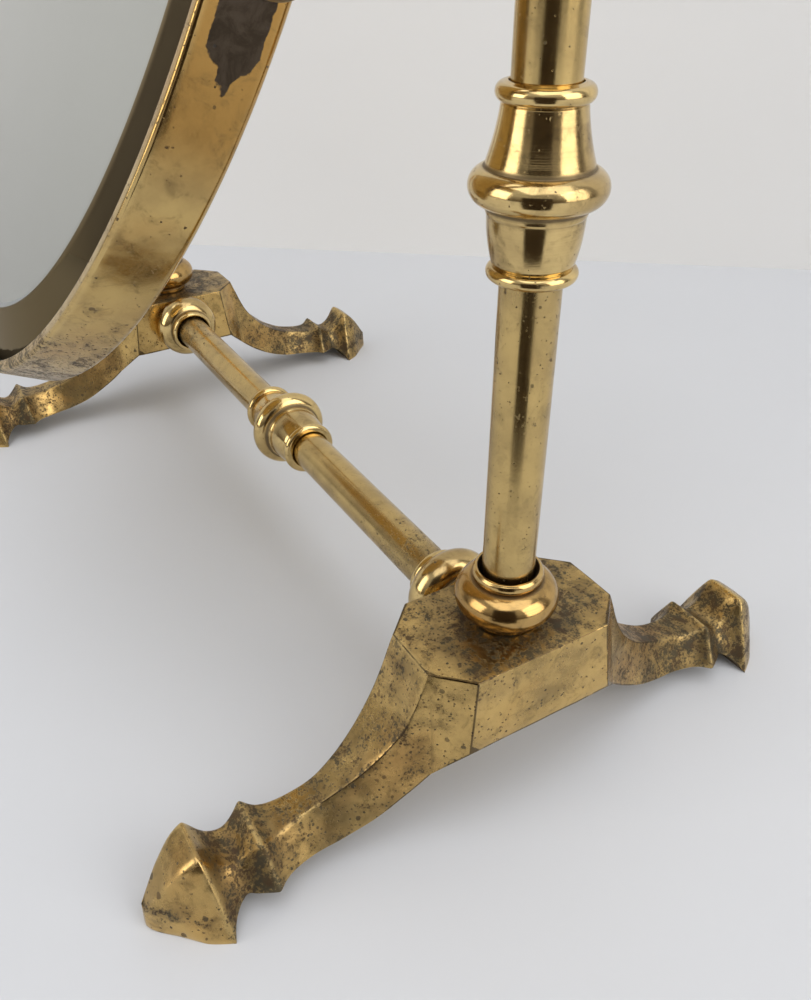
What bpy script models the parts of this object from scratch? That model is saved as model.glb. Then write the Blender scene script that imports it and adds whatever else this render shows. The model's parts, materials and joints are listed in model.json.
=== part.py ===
"""Optician's brass counter stand: two cast feet, two turned columns, a tilting
round mirror and two display rails with nose rests for spectacles.

Frame: +Z up, the origin on the table under the middle of the stand.
X runs along the stretcher, and the mirror faces -Y.  Units are metres.
"""

import math

import bmesh
import bpy
from mathutils import Vector

# ---------------------------------------------------------------- driving dimensions
COLUMN_SPACING = 0.2600       # centre to centre of the two columns
TUBE_RADIUS = 0.00635         # half-inch brass tube, for columns and stretcher
TUBE_WALL = 0.00135
TIE_ROD_RADIUS = 0.0030

GAP = 0.0003                  # clearance between pieces that touch
SOCKET_DEPTH = 0.0060         # how far a tube goes into a turned fitting

# feet
BLOCK_TOP = 0.0505            # height of the flat top of a foot's block
BLOCK_DEPTH = 0.0215          # top of the block to its underside
BLOCK_HALF_WIDTH = 0.0165
BLOCK_HALF_LENGTH = 0.0277    # to the end edge, where the leg starts
CORNER_CUT = 0.0084           # length along Y of the block's cut corners
END_HALF_WIDTH = 0.0082       # half the end edge of the block's octagon
SIDE_BATTER = 0.0015          # how much wider the block is at its underside
TOE_REACH = 0.1000            # column's axis to the toe's tip
HOOF_LENGTH = 0.0136          # tip of the toe back to the hoof's crown
NECK_SETBACK = 0.0084         # crown back to the thinnest part of the scotia
BEAD_SETBACK = 0.0144         # crown back to the bead
ANKLE_SETBACK = 0.0264        # crown back to the end of the leg's curve
ANKLE_HEIGHTS = (0.0169, 0.0117, 0.0068)    # upper edge, waist and lower edge above the table
SOLE_BAND = 0.0055            # height of the upright band above the sole
NUT_HEIGHT = 0.0045
NUT_WALL = 0.0025             # from the nut's bore to its corners
FOOT_WASHER_WIDTH = 0.0037    # from the washer's bore to its rim
FOOT_WASHER_THICKNESS = 0.0012
RECESS_DEPTH = 0.0080         # pocket for the nut in the block's underside
ROD_PAST_NUT = 0.0015

# turned fittings, given as widths outside the tube's socket
RING_HEIGHT = 0.0152
RING_WIDTH = 0.00615
KNOP_LENGTH = 0.0360
KNOP_WIDTH = 0.0066
FINIAL_SOCKET = 0.0050
FINIAL_THREAD = 0.0160
FINIAL_BALL_RADIUS = 0.0105
FINIAL_BALL_HEIGHT = 0.0190

# stretcher
STRETCHER_DROP = 0.00965      # block top down to the stretcher's axis
STUD_RADIUS = 0.0030
STUD_IN_BLOCK = 0.0090
STUD_IN_TUBE = 0.0120
SEAT_PROUD = 0.0004           # flat seat of a stretcher ring, outside the block's top edge
SEAT_MARGIN = 0.0007          # how far the seat reaches round the ring

# mirror
SIDE_ROOM = 0.0180            # column's axis to the hoop's outside
STRETCHER_ROOM = 0.04205      # stretcher's axis to the mirror when it hangs upright
HOOP_FRONT = 0.0084           # pivot axis to the hoop's front edge, along the mirror's normal
HOOP_BACK = 0.0069
HOOP_WALL = 0.0030
HOOP_HOOK = 0.0030            # how far the back edge turns in behind the plate
HOOP_ROLL = 0.0020            # rounding of the hoop's two edges
BEVEL_WIDTH = 0.0127          # of the glass
BEVEL_DROP = 0.0030
GLASS_THICKNESS = 0.0050
GLASS_SET_BACK = 0.0010       # glass face behind the hoop's front edge
BOARD_THICKNESS = 0.0060
BACK_PLATE_THICKNESS = 0.0010
MIRROR_TILT = math.radians(24.7)

# pivots and their brackets
PIVOT_REACH = 0.0418          # pivot axis in front of the columns
PIVOT_ABOVE_KNOP = 0.0212
PIN_RADIUS = 0.0025
PIN_IN_BOSS = 0.0030
EYE_WALL = 0.0027             # round the pin's hole
EYE_LENGTH = 0.0075
BOSS_LENGTH = 0.0050
BOSS_FLANGE = 0.0035          # the flange's rim outside the eye's size
WASHER_THICKNESS = 0.0009
KNOB_WALL = 0.0030            # the thumbscrew's rim outside its pin
KNOB_LENGTH = 0.0090
BRACKET_RISE = 0.0055         # bracket collar's middle above the pivot axis
ARM_RADIUS = 0.0038
COLLAR_WALL = 0.00385
COLLAR_HEIGHT = 0.0160
COLLAR_BEAD = 0.0026          # height of a collar's end beads
COLLAR_WAIST = 0.0014         # how far a collar is cut in between them

# display rails
RAIL_ABOVE_MIRROR = 0.0231    # lower rail's axis above the mirror's swing
RAIL_PITCH = 0.0650
COLUMN_ABOVE_RAIL = 0.0300    # upper rail's axis to the finials
RAIL_RADIUS = 0.0040
RAIL_SOCKET = 0.0030
CUP_WALL = 0.0023             # round the rail's end
CUP_PROUD = 0.0045            # the cup's mouth outside its collar
REST_SPACING = 0.1200
REST_COLLAR_WALL = 0.0025
REST_COLLAR_LENGTH = 0.0110
REST_STEM_RADIUS = 0.0022
REST_REACH = 0.0260           # spool in front of the rail
REST_RISE = 0.0120
SPOOL_RADIUS = 0.0048
SPOOL_LENGTH = 0.0140
SPOOL_RIM = 0.0022            # length of a spool's end

TURN_STEPS = 18               # facets round a turned piece
SMALL_STEPS = 14
EYE_STEPS = 20
MIRROR_STEPS = 52
LOFT_STEPS = 3                # stations of a foot's loft between two given ones
CUTTER_PAST = 0.0200          # how far a cutter runs out of what it cuts

# ---------------------------------------------------------------- derived places
SIDES = (("right", 1), ("left", -1))
UP = (0, 0, 1)
COLUMN_X = COLUMN_SPACING / 2
SOCKET_RADIUS = TUBE_RADIUS + GAP
ROD_BORE = TIE_ROD_RADIUS + GAP
PIN_BORE = PIN_RADIUS + GAP
EYE_RADIUS = PIN_BORE + EYE_WALL
COLLAR_RADIUS = SOCKET_RADIUS + COLLAR_WALL
STRETCHER_Z = BLOCK_TOP - STRETCHER_DROP
MIRROR_RADIUS = COLUMN_X - SIDE_ROOM
PIVOT_HEIGHT = STRETCHER_Z + STRETCHER_ROOM + MIRROR_RADIUS
KNOP_TOP = PIVOT_HEIGHT - PIVOT_ABOVE_KNOP
KNOP_BASE = KNOP_TOP - KNOP_LENGTH
LOWER_RAIL_Z = PIVOT_HEIGHT + MIRROR_RADIUS + RAIL_ABOVE_MIRROR
RAIL_HEIGHTS = (LOWER_RAIL_Z, LOWER_RAIL_Z + RAIL_PITCH)
COLUMN_TOP = RAIL_HEIGHTS[-1] + COLUMN_ABOVE_RAIL
SEAT_X = BLOCK_HALF_WIDTH + SEAT_PROUD      # a stretcher ring's seat, from the column's axis
BLOCK_FLOOR = BLOCK_TOP - BLOCK_DEPTH
FOOT_WASHER_Z = BLOCK_FLOOR + RECESS_DEPTH - GAP - FOOT_WASHER_THICKNESS
NUT_Z = FOOT_WASHER_Z - GAP - NUT_HEIGHT


# ---------------------------------------------------------------- scene and materials
for leftover in list(bpy.data.objects):
    bpy.data.objects.remove(leftover, do_unlink=True)

parts = bpy.data.collections.new("optician_mirror_stand")
cutters = bpy.data.collections.new("cutters")
for collection in (parts, cutters):
    bpy.context.scene.collection.children.link(collection)


def make_material(name, colour, roughness, metallic):
    material = bpy.data.materials.new(name)
    material.use_nodes = True
    shader = material.node_tree.nodes["Principled BSDF"]
    shader.inputs["Base Color"].default_value = (*colour, 1.0)
    shader.inputs["Roughness"].default_value = roughness
    shader.inputs["Metallic"].default_value = metallic
    return material


CAST_BRASS = make_material("cast_brass", (0.46, 0.34, 0.15), 0.42, 1.0)
TURNED_BRASS = make_material("turned_brass", (0.62, 0.47, 0.21), 0.24, 1.0)
TUBE_BRASS = make_material("tube_brass", (0.50, 0.39, 0.20), 0.34, 1.0)
HOOP_BRASS = make_material("hoop_brass", (0.55, 0.42, 0.20), 0.28, 1.0)
DARK_BRASS = make_material("dark_brass", (0.12, 0.09, 0.07), 0.40, 1.0)
SILVERED_GLASS = make_material("silvered_glass", (0.80, 0.81, 0.79), 0.03, 1.0)
BOARD = make_material("backing_board", (0.16, 0.11, 0.07), 0.90, 0.0)
LEATHER = make_material("washer_leather", (0.10, 0.06, 0.04), 0.80, 0.0)
STEEL = make_material("plain_steel", (0.42, 0.41, 0.40), 0.45, 1.0)


# ---------------------------------------------------------------- modelling helpers
def new_object(name, data, material=None, collection=parts):
    thing = bpy.data.objects.new(name, data)
    collection.objects.link(thing)
    if material:
        data.materials.append(material)
    return thing


def arc(centre, radii, start, end, steps):
    """Points on part of an ellipse of a turned outline; in degrees, 0 is outwards."""
    points = []
    for i in range(steps + 1):
        angle = math.radians(start + (end - start) * i / steps)
        points.append((centre[0] + radii[0] * math.cos(angle), centre[1] + radii[1] * math.sin(angle)))
    return points


def lathe(name, outline, material, at, axis=UP, steps=TURN_STEPS, collection=parts):
    """Turn an outline of (radius, height) points, top to bottom down its outer side.

    An outline that starts on the axis also ends there; any other closes into a ring.
    """
    mesh = bpy.data.meshes.new(name)
    points = [(radius, 0.0, height) for radius, height in outline]
    edges = [(i, i + 1) for i in range(len(points) - 1)]
    if outline[0][0] > 0:
        edges.append((len(points) - 1, 0))
    mesh.from_pydata(points, edges, [])
    thing = new_object(name, mesh, material, collection)
    thing.location = at
    thing.rotation_euler = Vector(axis).to_track_quat("Z", "Y").to_euler()
    screw = thing.modifiers.new("turn", "SCREW")
    screw.axis = "Z"
    screw.steps = steps
    screw.render_steps = steps
    screw.use_merge_vertices = True
    screw.merge_threshold = 0.00001
    screw.use_smooth_shade = True
    return thing


def rod(name, radius, length, material, at, axis=UP, steps=TURN_STEPS, collection=parts):
    """A plain cylinder that starts at a point and runs along an axis."""
    outline = [(0.0, length), (radius, length), (radius, 0.0), (0.0, 0.0)]
    return lathe(name, outline, material, at, axis, steps, collection)


def rod_cutter(name, radius, length, at, axis=UP, steps=TURN_STEPS):
    return rod(name, radius, length, None, at, axis, steps, cutters)


def washer(name, outer, inner, thickness, material, at, axis=UP, steps=TURN_STEPS):
    outline = [(outer, thickness), (outer, 0), (inner, 0), (inner, thickness)]
    return lathe(name, outline, material, at, axis, steps)


def tube(name, start, end, axis_at, axis):
    """A hollow tube between two distances along an axis."""
    place = Vector(axis_at) + Vector(axis) * start
    return washer(name, TUBE_RADIUS, TUBE_RADIUS - TUBE_WALL, end - start, TUBE_BRASS, place, axis)


def combine(operation, thing, others):
    """Cut or join a piece with helper solids, which stay out of the model itself."""
    for other in others:
        other.hide_render = True
        other.display_type = "WIRE"
        step = thing.modifiers.new(operation.lower(), "BOOLEAN")
        step.operation = operation
        step.solver = "EXACT"
        step.object = other


def cut(thing, *others):
    combine("DIFFERENCE", thing, others)


def join(thing, *others):
    combine("UNION", thing, others)


def bar_cutter(name, points, radius):
    """A round bar along a smooth curve, made a welded mesh so that it can be joined."""
    curve = bpy.data.curves.new(name, "CURVE")
    curve.dimensions = "3D"
    curve.bevel_depth = radius
    curve.bevel_resolution = 2
    curve.use_fill_caps = True
    curve.resolution_u = 4
    spline = curve.splines.new("BEZIER")
    spline.bezier_points.add(len(points) - 1)
    for knot, point in zip(spline.bezier_points, points):
        knot.co = point
        knot.handle_left_type = "AUTO"
        knot.handle_right_type = "AUTO"
    guide = new_object(name + "_curve", curve, None, cutters)
    bpy.context.view_layer.update()
    evaluated = guide.evaluated_get(bpy.context.evaluated_depsgraph_get())
    mesh = bpy.data.meshes.new_from_object(evaluated)
    welded = bmesh.new()
    welded.from_mesh(mesh)
    bmesh.ops.remove_doubles(welded, verts=welded.verts, dist=0.00001)
    bmesh.ops.recalc_face_normals(welded, faces=welded.faces)
    welded.to_mesh(mesh)
    welded.free()
    bpy.data.objects.remove(guide, do_unlink=True)
    return new_object(name, mesh, None, cutters)


# ---------------------------------------------------------------- feet
def catmull(points, t):
    """A point on the smooth curve through a list of points, at t in knots."""
    i = min(int(t), len(points) - 2)
    f = t - i
    before = points[max(i - 1, 0)]
    after = points[min(i + 2, len(points) - 1)]
    result = []
    for p0, p1, p2, p3 in zip(before, points[i], points[i + 1], after):
        slope_in = (p2 - p0) / 2
        slope_out = (p3 - p1) / 2
        value = (2 * f**3 - 3 * f**2 + 1) * p1 + (f**3 - 2 * f**2 + f) * slope_in
        value += (3 * f**2 - 2 * f**3) * p2 + (f**3 - f**2) * slope_out
        result.append(value)
    return result


def smooth_run(points):
    """Evenly subdivided stations along one smooth stretch."""
    count = (len(points) - 1) * LOFT_STEPS
    return [catmull(points, i / LOFT_STEPS) for i in range(count + 1)]


def leg_station(reaches, half_widths, shares):
    """A station on the leg; its heights are shares of the fall from the block to the ankle."""
    station = []
    for reach, half, share, ankle in zip(reaches, half_widths, shares, ANKLE_HEIGHTS):
        station += [reach, half, BLOCK_TOP - share * (BLOCK_TOP - ankle)]
    return station


def foot_stations():
    """Half a foot's loft, from the middle of the block to the tip of the toe.

    Each station holds reach, half-width and height for three rails: the upper edge,
    the side's waist and the lower edge.
    """
    top, floor, band = BLOCK_TOP, BLOCK_FLOOR, SOLE_BAND
    middle_z = (top + floor) / 2
    wide, end = BLOCK_HALF_WIDTH, BLOCK_HALF_LENGTH
    skirt = wide + SIDE_BATTER
    waist = (wide + skirt) / 2
    corner = end - CORNER_CUT
    start = END_HALF_WIDTH
    crown = TOE_REACH - HOOF_LENGTH
    neck = crown - NECK_SETBACK
    bead = crown - BEAD_SETBACK
    ankle = crown - ANKLE_SETBACK
    block = [
        [0, wide, top, 0, waist, middle_z, 0, skirt, floor],
        [corner, wide, top, corner + 0.0012, waist, middle_z, corner + 0.0025, skirt, floor],
    ]
    bead_peak = [bead, 0.0076, 0.0180, bead - 0.0006, 0.0106, 0.0119, bead - 0.0012, 0.0137, 0.0059]
    crown_peak = [crown, 0.0064, 0.0217, crown - 0.0020, 0.0135, band, crown - 0.0024, 0.0152, 0]
    leg = smooth_run([
        leg_station((end, end + 0.0006, end + 0.0016),
                    (start, start + 0.0024, start + 0.0046), (0.0, 0.387, 0.664)),
        leg_station((end + 0.0063, end + 0.0068, end + 0.0073),
                    (start - 0.0003, start + 0.0016, start + 0.0034), (0.449, 0.631, 0.773)),
        leg_station((end + 0.0153, end + 0.0155, end + 0.0157), (0.0059, 0.0083, 0.0104), (0.759, 0.838, 0.892)),
        leg_station([ankle - 0.0080] * 3, (0.0042, 0.0066, 0.0091), (0.929, 0.954, 0.970)),
        leg_station([ankle] * 3, (0.0039, 0.0063, 0.0087), (1.0, 1.0, 1.0)),
        [bead - 0.0040, 0.0053, 0.0160, bead - 0.0045, 0.0081, 0.0109, bead - 0.0048, 0.0106, 0.0062],
        bead_peak,
    ])
    scotia = smooth_run([
        bead_peak,
        [bead + 0.0028, 0.0062, 0.0153, bead + 0.0028, 0.0086, 0.0109, bead + 0.0036, 0.0112, 0.0059],
        [neck, 0.0055, 0.0135, neck, 0.0078, 0.0100, neck, 0.0098, 0.0057],
        [crown - 0.0040, 0.0055, 0.0160, crown - 0.0046, 0.0098, 0.0085, crown - 0.0048, 0.0122, 0.0035],
        crown_peak,
    ])
    toe = smooth_run([
        crown_peak,
        [crown + 0.0036, 0.0058, 0.0195, crown + 0.0032, 0.0108, band, crown + 0.0030, 0.0122, 0],
        [crown + 0.0078, 0.0042, 0.0147, crown + 0.0076, 0.0070, band, crown + 0.0074, 0.0080, 0],
        [TOE_REACH - 0.0016, 0.0020, 0.0085, TOE_REACH - 0.0016, 0.0029, band, TOE_REACH - 0.0012, 0.0034, 0],
    ])
    tip = [[TOE_REACH, 0.0006, band + 0.0004, TOE_REACH, 0.0009, band, TOE_REACH + 0.0004, 0.0010, 0]]
    return block + leg + scotia[1:] + toe[1:] + tip


def foot_ring(station, side):
    """The six corners of one cross-section, in order round the leg."""
    rails = [station[i:i + 3] for i in (0, 3, 6)]
    near = [Vector((half, side * reach, height)) for reach, half, height in rails]
    far = [Vector((-half, side * reach, height)) for reach, half, height in reversed(rails)]
    return near + far


def make_foot(name, x):
    half = foot_stations()
    rings = [foot_ring(s, -1) for s in reversed(half[1:])] + [foot_ring(s, 1) for s in half]
    body = bmesh.new()
    rows = [[body.verts.new(corner) for corner in ring] for ring in rings]
    for row, following in zip(rows, rows[1:]):
        for i in range(len(row)):
            j = (i + 1) % len(row)
            body.faces.new((row[i], row[j], following[j], following[i]))
    body.faces.new(rows[0])
    body.faces.new(reversed(rows[-1]))
    bmesh.ops.triangulate(body, faces=body.faces)
    bmesh.ops.recalc_face_normals(body, faces=body.faces)
    mesh = bpy.data.meshes.new(name)
    body.to_mesh(mesh)
    body.free()
    foot = new_object(name, mesh, CAST_BRASS)
    foot.location = (x, 0, 0)
    return foot


for side_name, side in SIDES:
    x = side * COLUMN_X
    inward = (-side, 0, 0)
    foot = make_foot("foot_" + side_name, x)
    washer_radius = ROD_BORE + FOOT_WASHER_WIDTH
    seat_radius = SOCKET_RADIUS + RING_WIDTH + SEAT_MARGIN
    rod_hole = rod_cutter("rod_hole_" + side_name, ROD_BORE, BLOCK_TOP + CUTTER_PAST, (x, 0, 0))
    recess = rod_cutter("nut_recess_" + side_name, washer_radius + GAP, RECESS_DEPTH + CUTTER_PAST,
                        (x, 0, BLOCK_FLOOR - CUTTER_PAST))
    seat = rod_cutter("ring_seat_" + side_name, seat_radius, CUTTER_PAST,
                      (x - side * SEAT_X, 0, STRETCHER_Z), inward)
    stud_hole = rod_cutter("stud_hole_" + side_name, STUD_RADIUS + GAP, STUD_IN_BLOCK + CUTTER_PAST,
                           (x - side * (SEAT_X - STUD_IN_BLOCK), 0, STRETCHER_Z), inward)
    cut(foot, rod_hole, recess, seat, stud_hole)

    washer("foot_washer_" + side_name, washer_radius, ROD_BORE, FOOT_WASHER_THICKNESS, STEEL,
           (x, 0, FOOT_WASHER_Z))
    nut = rod("foot_nut_" + side_name, ROD_BORE + NUT_WALL, NUT_HEIGHT, STEEL, (x, 0, NUT_Z), UP, 6)
    thread = rod_cutter("nut_thread_" + side_name, ROD_BORE, NUT_HEIGHT + 2 * CUTTER_PAST,
                        (x, 0, NUT_Z - CUTTER_PAST))
    cut(nut, thread)


# ---------------------------------------------------------------- columns
def ring_outline():
    """Bulbous ring with a smaller step above it; its socket takes a tube."""
    top = RING_HEIGHT
    edge = SOCKET_RADIUS + 0.00135
    step = [(edge, top), (edge + 0.0007, top - 0.0007), (edge + 0.0007, top - 0.0023), (edge, top - 0.0030)]
    bulb = arc((SOCKET_RADIUS + 0.00075, 0.0070), (RING_WIDTH - 0.00075, 0.0052), 78, -78, 7)
    foot = [(SOCKET_RADIUS + 0.00175, 0.0)]
    floor = RING_HEIGHT - 2 * SOCKET_DEPTH
    inner = [(ROD_BORE, 0.0), (ROD_BORE, floor), (SOCKET_RADIUS, floor), (SOCKET_RADIUS, top)]
    return step + bulb + foot + inner


def knop_outline():
    """Turned knop: bead, cone, bulge, cup and bead, with a socket at each end."""
    top = KNOP_LENGTH
    s = SOCKET_RADIUS
    belly = s + KNOP_WIDTH - 0.0031
    upper_bead = arc((s + 0.00095, top - 0.0020), (0.0014, 0.0016), 90, -90, 3)
    cone = [(s + 0.00135, top - 0.0042), (s + 0.00215, top - 0.0090), (belly - 0.00015, 0.0221)]
    bulge = arc((belly - 0.00035, 0.0179), (0.00345, 0.0034), 80, -80, 6)
    cup = [(belly - 0.00015, 0.0139), (belly - 0.00045, 0.0130), (s + 0.00235, 0.0086), (s + 0.00165, 0.0038)]
    lower_bead = arc((s + 0.00105, 0.0015), (0.0014, 0.0014), 80, -90, 3)
    inner = [(s, 0.0), (s, SOCKET_DEPTH), (ROD_BORE, SOCKET_DEPTH),
             (ROD_BORE, top - SOCKET_DEPTH), (s, top - SOCKET_DEPTH), (s, top)]
    return upper_bead + cone + bulge + cup + lower_bead + inner


def finial_outline():
    """Ball finial on a waisted foot, with a button on top and a socket for the tube."""
    s = SOCKET_RADIUS
    button = [(0.0, 0.0385), (0.0022, 0.0375), (0.0032, 0.0350), (0.0024, 0.0320), (0.0034, 0.0300)]
    ball = arc((0.0, FINIAL_BALL_HEIGHT), (FINIAL_BALL_RADIUS, FINIAL_BALL_RADIUS), 68, -60, 7)
    foot = [(s - 0.00045, 0.0078), (s + 0.00175, 0.0058)]
    foot += arc((s + 0.00155, 0.0030), (0.0014, 0.0018), 80, -80, 3)
    inner = [(s + 0.00175, 0.0), (s, 0.0), (s, FINIAL_SOCKET), (ROD_BORE, FINIAL_SOCKET),
             (ROD_BORE, FINIAL_THREAD), (0.0, FINIAL_THREAD)]
    return button + ball + foot + inner


ring_base = BLOCK_TOP + GAP
rod_bottom = NUT_Z - ROD_PAST_NUT
rod_top = COLUMN_TOP + FINIAL_THREAD - GAP

for side_name, side in SIDES:
    x = side * COLUMN_X
    lathe("column_ring_" + side_name, ring_outline(), TURNED_BRASS, (x, 0, ring_base))
    tube("column_tube_lower_" + side_name, ring_base + RING_HEIGHT - 2 * SOCKET_DEPTH + GAP,
         KNOP_BASE + SOCKET_DEPTH - GAP, (x, 0, 0), UP)
    lathe("column_knop_" + side_name, knop_outline(), TURNED_BRASS, (x, 0, KNOP_BASE))
    tube("column_tube_upper_" + side_name, KNOP_TOP - SOCKET_DEPTH + GAP, COLUMN_TOP + FINIAL_SOCKET - GAP,
         (x, 0, 0), UP)
    lathe("finial_" + side_name, finial_outline(), TURNED_BRASS, (x, 0, COLUMN_TOP))
    rod("tie_rod_" + side_name, TIE_ROD_RADIUS, rod_top - rod_bottom, STEEL, (x, 0, rod_bottom), UP, SMALL_STEPS)


# ---------------------------------------------------------------- stretcher
stretcher_ring_x = COLUMN_X - SEAT_X - GAP
stretcher_socket_x = stretcher_ring_x - RING_HEIGHT + 2 * SOCKET_DEPTH
half_knop = KNOP_LENGTH / 2

for side_name, side in SIDES:
    outward = (side, 0, 0)
    lathe("stretcher_ring_" + side_name, ring_outline(), TURNED_BRASS,
          (side * stretcher_ring_x, 0, STRETCHER_Z), (-side, 0, 0))
    tube("stretcher_tube_" + side_name, half_knop - SOCKET_DEPTH + GAP, stretcher_socket_x - GAP,
         (0, 0, STRETCHER_Z), outward)
    stud_length = STUD_IN_BLOCK + RING_HEIGHT + STUD_IN_TUBE
    stud_end = COLUMN_X - SEAT_X + STUD_IN_BLOCK - GAP
    rod("stretcher_stud_" + side_name, STUD_RADIUS, stud_length, STEEL,
        (side * (stud_end - stud_length), 0, STRETCHER_Z), outward, SMALL_STEPS)
lathe("stretcher_knop", knop_outline(), TURNED_BRASS, (half_knop, 0, STRETCHER_Z), (-1, 0, 0))


# ---------------------------------------------------------------- mirror
# Turned about the mirror's own normal; height 0 is the pivot axis, + is towards the viewer.
pivot = Vector((0, -PIVOT_REACH, PIVOT_HEIGHT))
normal = Vector((0, -math.cos(MIRROR_TILT), math.sin(MIRROR_TILT)))
lip_inner = MIRROR_RADIUS - HOOP_WALL
glass_radius = lip_inner - GAP
glass_face = HOOP_FRONT - GLASS_SET_BACK
glass_back = glass_face - GLASS_THICKNESS
board_front = glass_back - GAP
board_back = board_front - BOARD_THICKNESS
plate_front = board_back - GAP
plate_back = plate_front - BACK_PLATE_THICKNESS


def hoop_outline():
    """Flat band with both edges rolled over, the back one inwards to hold the plate."""
    rolled = (HOOP_ROLL, HOOP_ROLL)
    front = arc((MIRROR_RADIUS - HOOP_ROLL, HOOP_FRONT - HOOP_ROLL), rolled, 90, 0, 3)
    back = arc((MIRROR_RADIUS - HOOP_ROLL, HOOP_ROLL - HOOP_BACK), rolled, 0, -90, 3)
    hook = [(lip_inner - HOOP_HOOK, -HOOP_BACK), (lip_inner - HOOP_HOOK, plate_back - GAP)]
    inner = [(lip_inner, plate_back - GAP), (lip_inner, HOOP_FRONT - HOOP_ROLL / 2)]
    return front + back + hook + inner


def disc_outline(front, back):
    return [(0, front), (glass_radius, front), (glass_radius, back), (0, back)]


glass_outline = [
    (0, glass_face), (lip_inner - BEVEL_WIDTH - GAP, glass_face),
    (glass_radius, glass_face - BEVEL_DROP), (glass_radius, glass_back), (0, glass_back),
]
lathe("mirror_hoop", hoop_outline(), HOOP_BRASS, pivot, normal, MIRROR_STEPS)
lathe("mirror_glass", glass_outline, SILVERED_GLASS, pivot, normal, MIRROR_STEPS)
lathe("backing_board", disc_outline(board_front, board_back), BOARD, pivot, normal, MIRROR_STEPS)
lathe("back_plate", disc_outline(plate_front, plate_back), HOOP_BRASS, pivot, normal, MIRROR_STEPS)


# ---------------------------------------------------------------- mirror pivots and brackets
# Distances along the pivot axis, from the middle of the stand outwards.
boss_start = MIRROR_RADIUS + GAP
boss_end = boss_start + BOSS_LENGTH
washer_start = boss_end + GAP
eye_start = washer_start + WASHER_THICKNESS + GAP
knob_start = eye_start + EYE_LENGTH + GAP
pin_start = boss_end - PIN_IN_BOSS + GAP
bracket_z = PIVOT_HEIGHT + BRACKET_RISE


def boss_outline():
    """Flange and neck of the pivot boss on the hoop's side, with a blind hole for the pin."""
    length = BOSS_LENGTH
    flange = EYE_RADIUS + BOSS_FLANGE
    return [(0.0, length - PIN_IN_BOSS), (PIN_BORE, length - PIN_IN_BOSS), (PIN_BORE, length),
            (EYE_RADIUS, length), (EYE_RADIUS + 0.0004, length - 0.0016),
            (flange - 0.0008, length - 0.0024), (flange, length - 0.0032), (flange, 0.0), (0.0, 0.0)]


def thumbscrew_outline():
    """Waisted knob with its pin, which runs through the eye into the boss."""
    pin = knob_start - pin_start
    top = pin + KNOB_LENGTH
    rim = PIN_RADIUS + KNOB_WALL
    neck = rim - 0.0013
    return [(0, top), (rim - 0.0025, top - 0.0003), (rim - 0.0008, top - 0.0018), (rim, top - 0.0030),
            (rim, top - 0.0060), (rim - 0.0009, top - 0.0068), (neck, pin + 0.0010), (neck, pin),
            (PIN_RADIUS, pin), (PIN_RADIUS, 0), (0, 0)]


def collar_outline():
    """Sleeve round a column's tube, beaded at both ends."""
    rim = 0.0008
    outer, height = COLLAR_RADIUS, COLLAR_HEIGHT
    waist = outer - COLLAR_WAIST
    shoulder = COLLAR_BEAD + 0.0010
    return [(outer - rim, height), (outer, height - rim), (outer, height - COLLAR_BEAD),
            (waist, height - shoulder), (waist, shoulder), (outer, COLLAR_BEAD),
            (outer, rim), (outer - rim, 0.0), (SOCKET_RADIUS, 0.0), (SOCKET_RADIUS, height)]


def on_pivot(side, distance):
    """A point on the pivot axis, at a distance from the middle on one side."""
    return (side * distance, -PIVOT_REACH, PIVOT_HEIGHT)


for side_name, side in SIDES:
    outward = (side, 0, 0)
    x = side * COLUMN_X
    lathe("pivot_boss_" + side_name, boss_outline(), DARK_BRASS, on_pivot(side, boss_start), outward)
    washer("friction_washer_" + side_name, EYE_RADIUS, PIN_BORE, WASHER_THICKNESS, LEATHER,
           on_pivot(side, washer_start), outward, SMALL_STEPS)
    lathe("pivot_thumbscrew_" + side_name, thumbscrew_outline(), TURNED_BRASS,
          on_pivot(side, pin_start), outward, EYE_STEPS)

    bracket = lathe("mirror_bracket_" + side_name, collar_outline(), CAST_BRASS,
                    (x, 0, bracket_z - COLLAR_HEIGHT / 2))
    eye_x = side * (eye_start + EYE_LENGTH / 2)
    arm = bar_cutter("arm_" + side_name, [
        (x, -SOCKET_RADIUS - COLLAR_WALL / 2, bracket_z),
        (x, -PIVOT_REACH * 0.45, bracket_z),
        (eye_x + side * 0.0008, -PIVOT_REACH * 0.82, PIVOT_HEIGHT + BRACKET_RISE * 0.4),
        (eye_x, -PIVOT_REACH + 0.0010, PIVOT_HEIGHT),
    ], ARM_RADIUS)
    eye = rod_cutter("eye_" + side_name, EYE_RADIUS, EYE_LENGTH, on_pivot(side, eye_start), outward, EYE_STEPS)
    pin_hole = rod_cutter("pin_hole_" + side_name, PIN_BORE, EYE_LENGTH + 2 * CUTTER_PAST,
                          on_pivot(side, eye_start - CUTTER_PAST), outward, EYE_STEPS)
    join(bracket, arm, eye)
    cut(bracket, pin_hole)


# ---------------------------------------------------------------- display rails
def spool_outline():
    """Waisted spool that a spectacle bridge sits on."""
    rim = SPOOL_RADIUS + 0.0008
    length = SPOOL_LENGTH
    return [(0, length), (SPOOL_RADIUS, length), (rim, length - 0.0010), (SPOOL_RADIUS, length - SPOOL_RIM),
            (SPOOL_RADIUS - 0.0014, length / 2), (SPOOL_RADIUS, SPOOL_RIM), (rim, 0.0010),
            (SPOOL_RADIUS, 0), (0, 0)]


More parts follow.
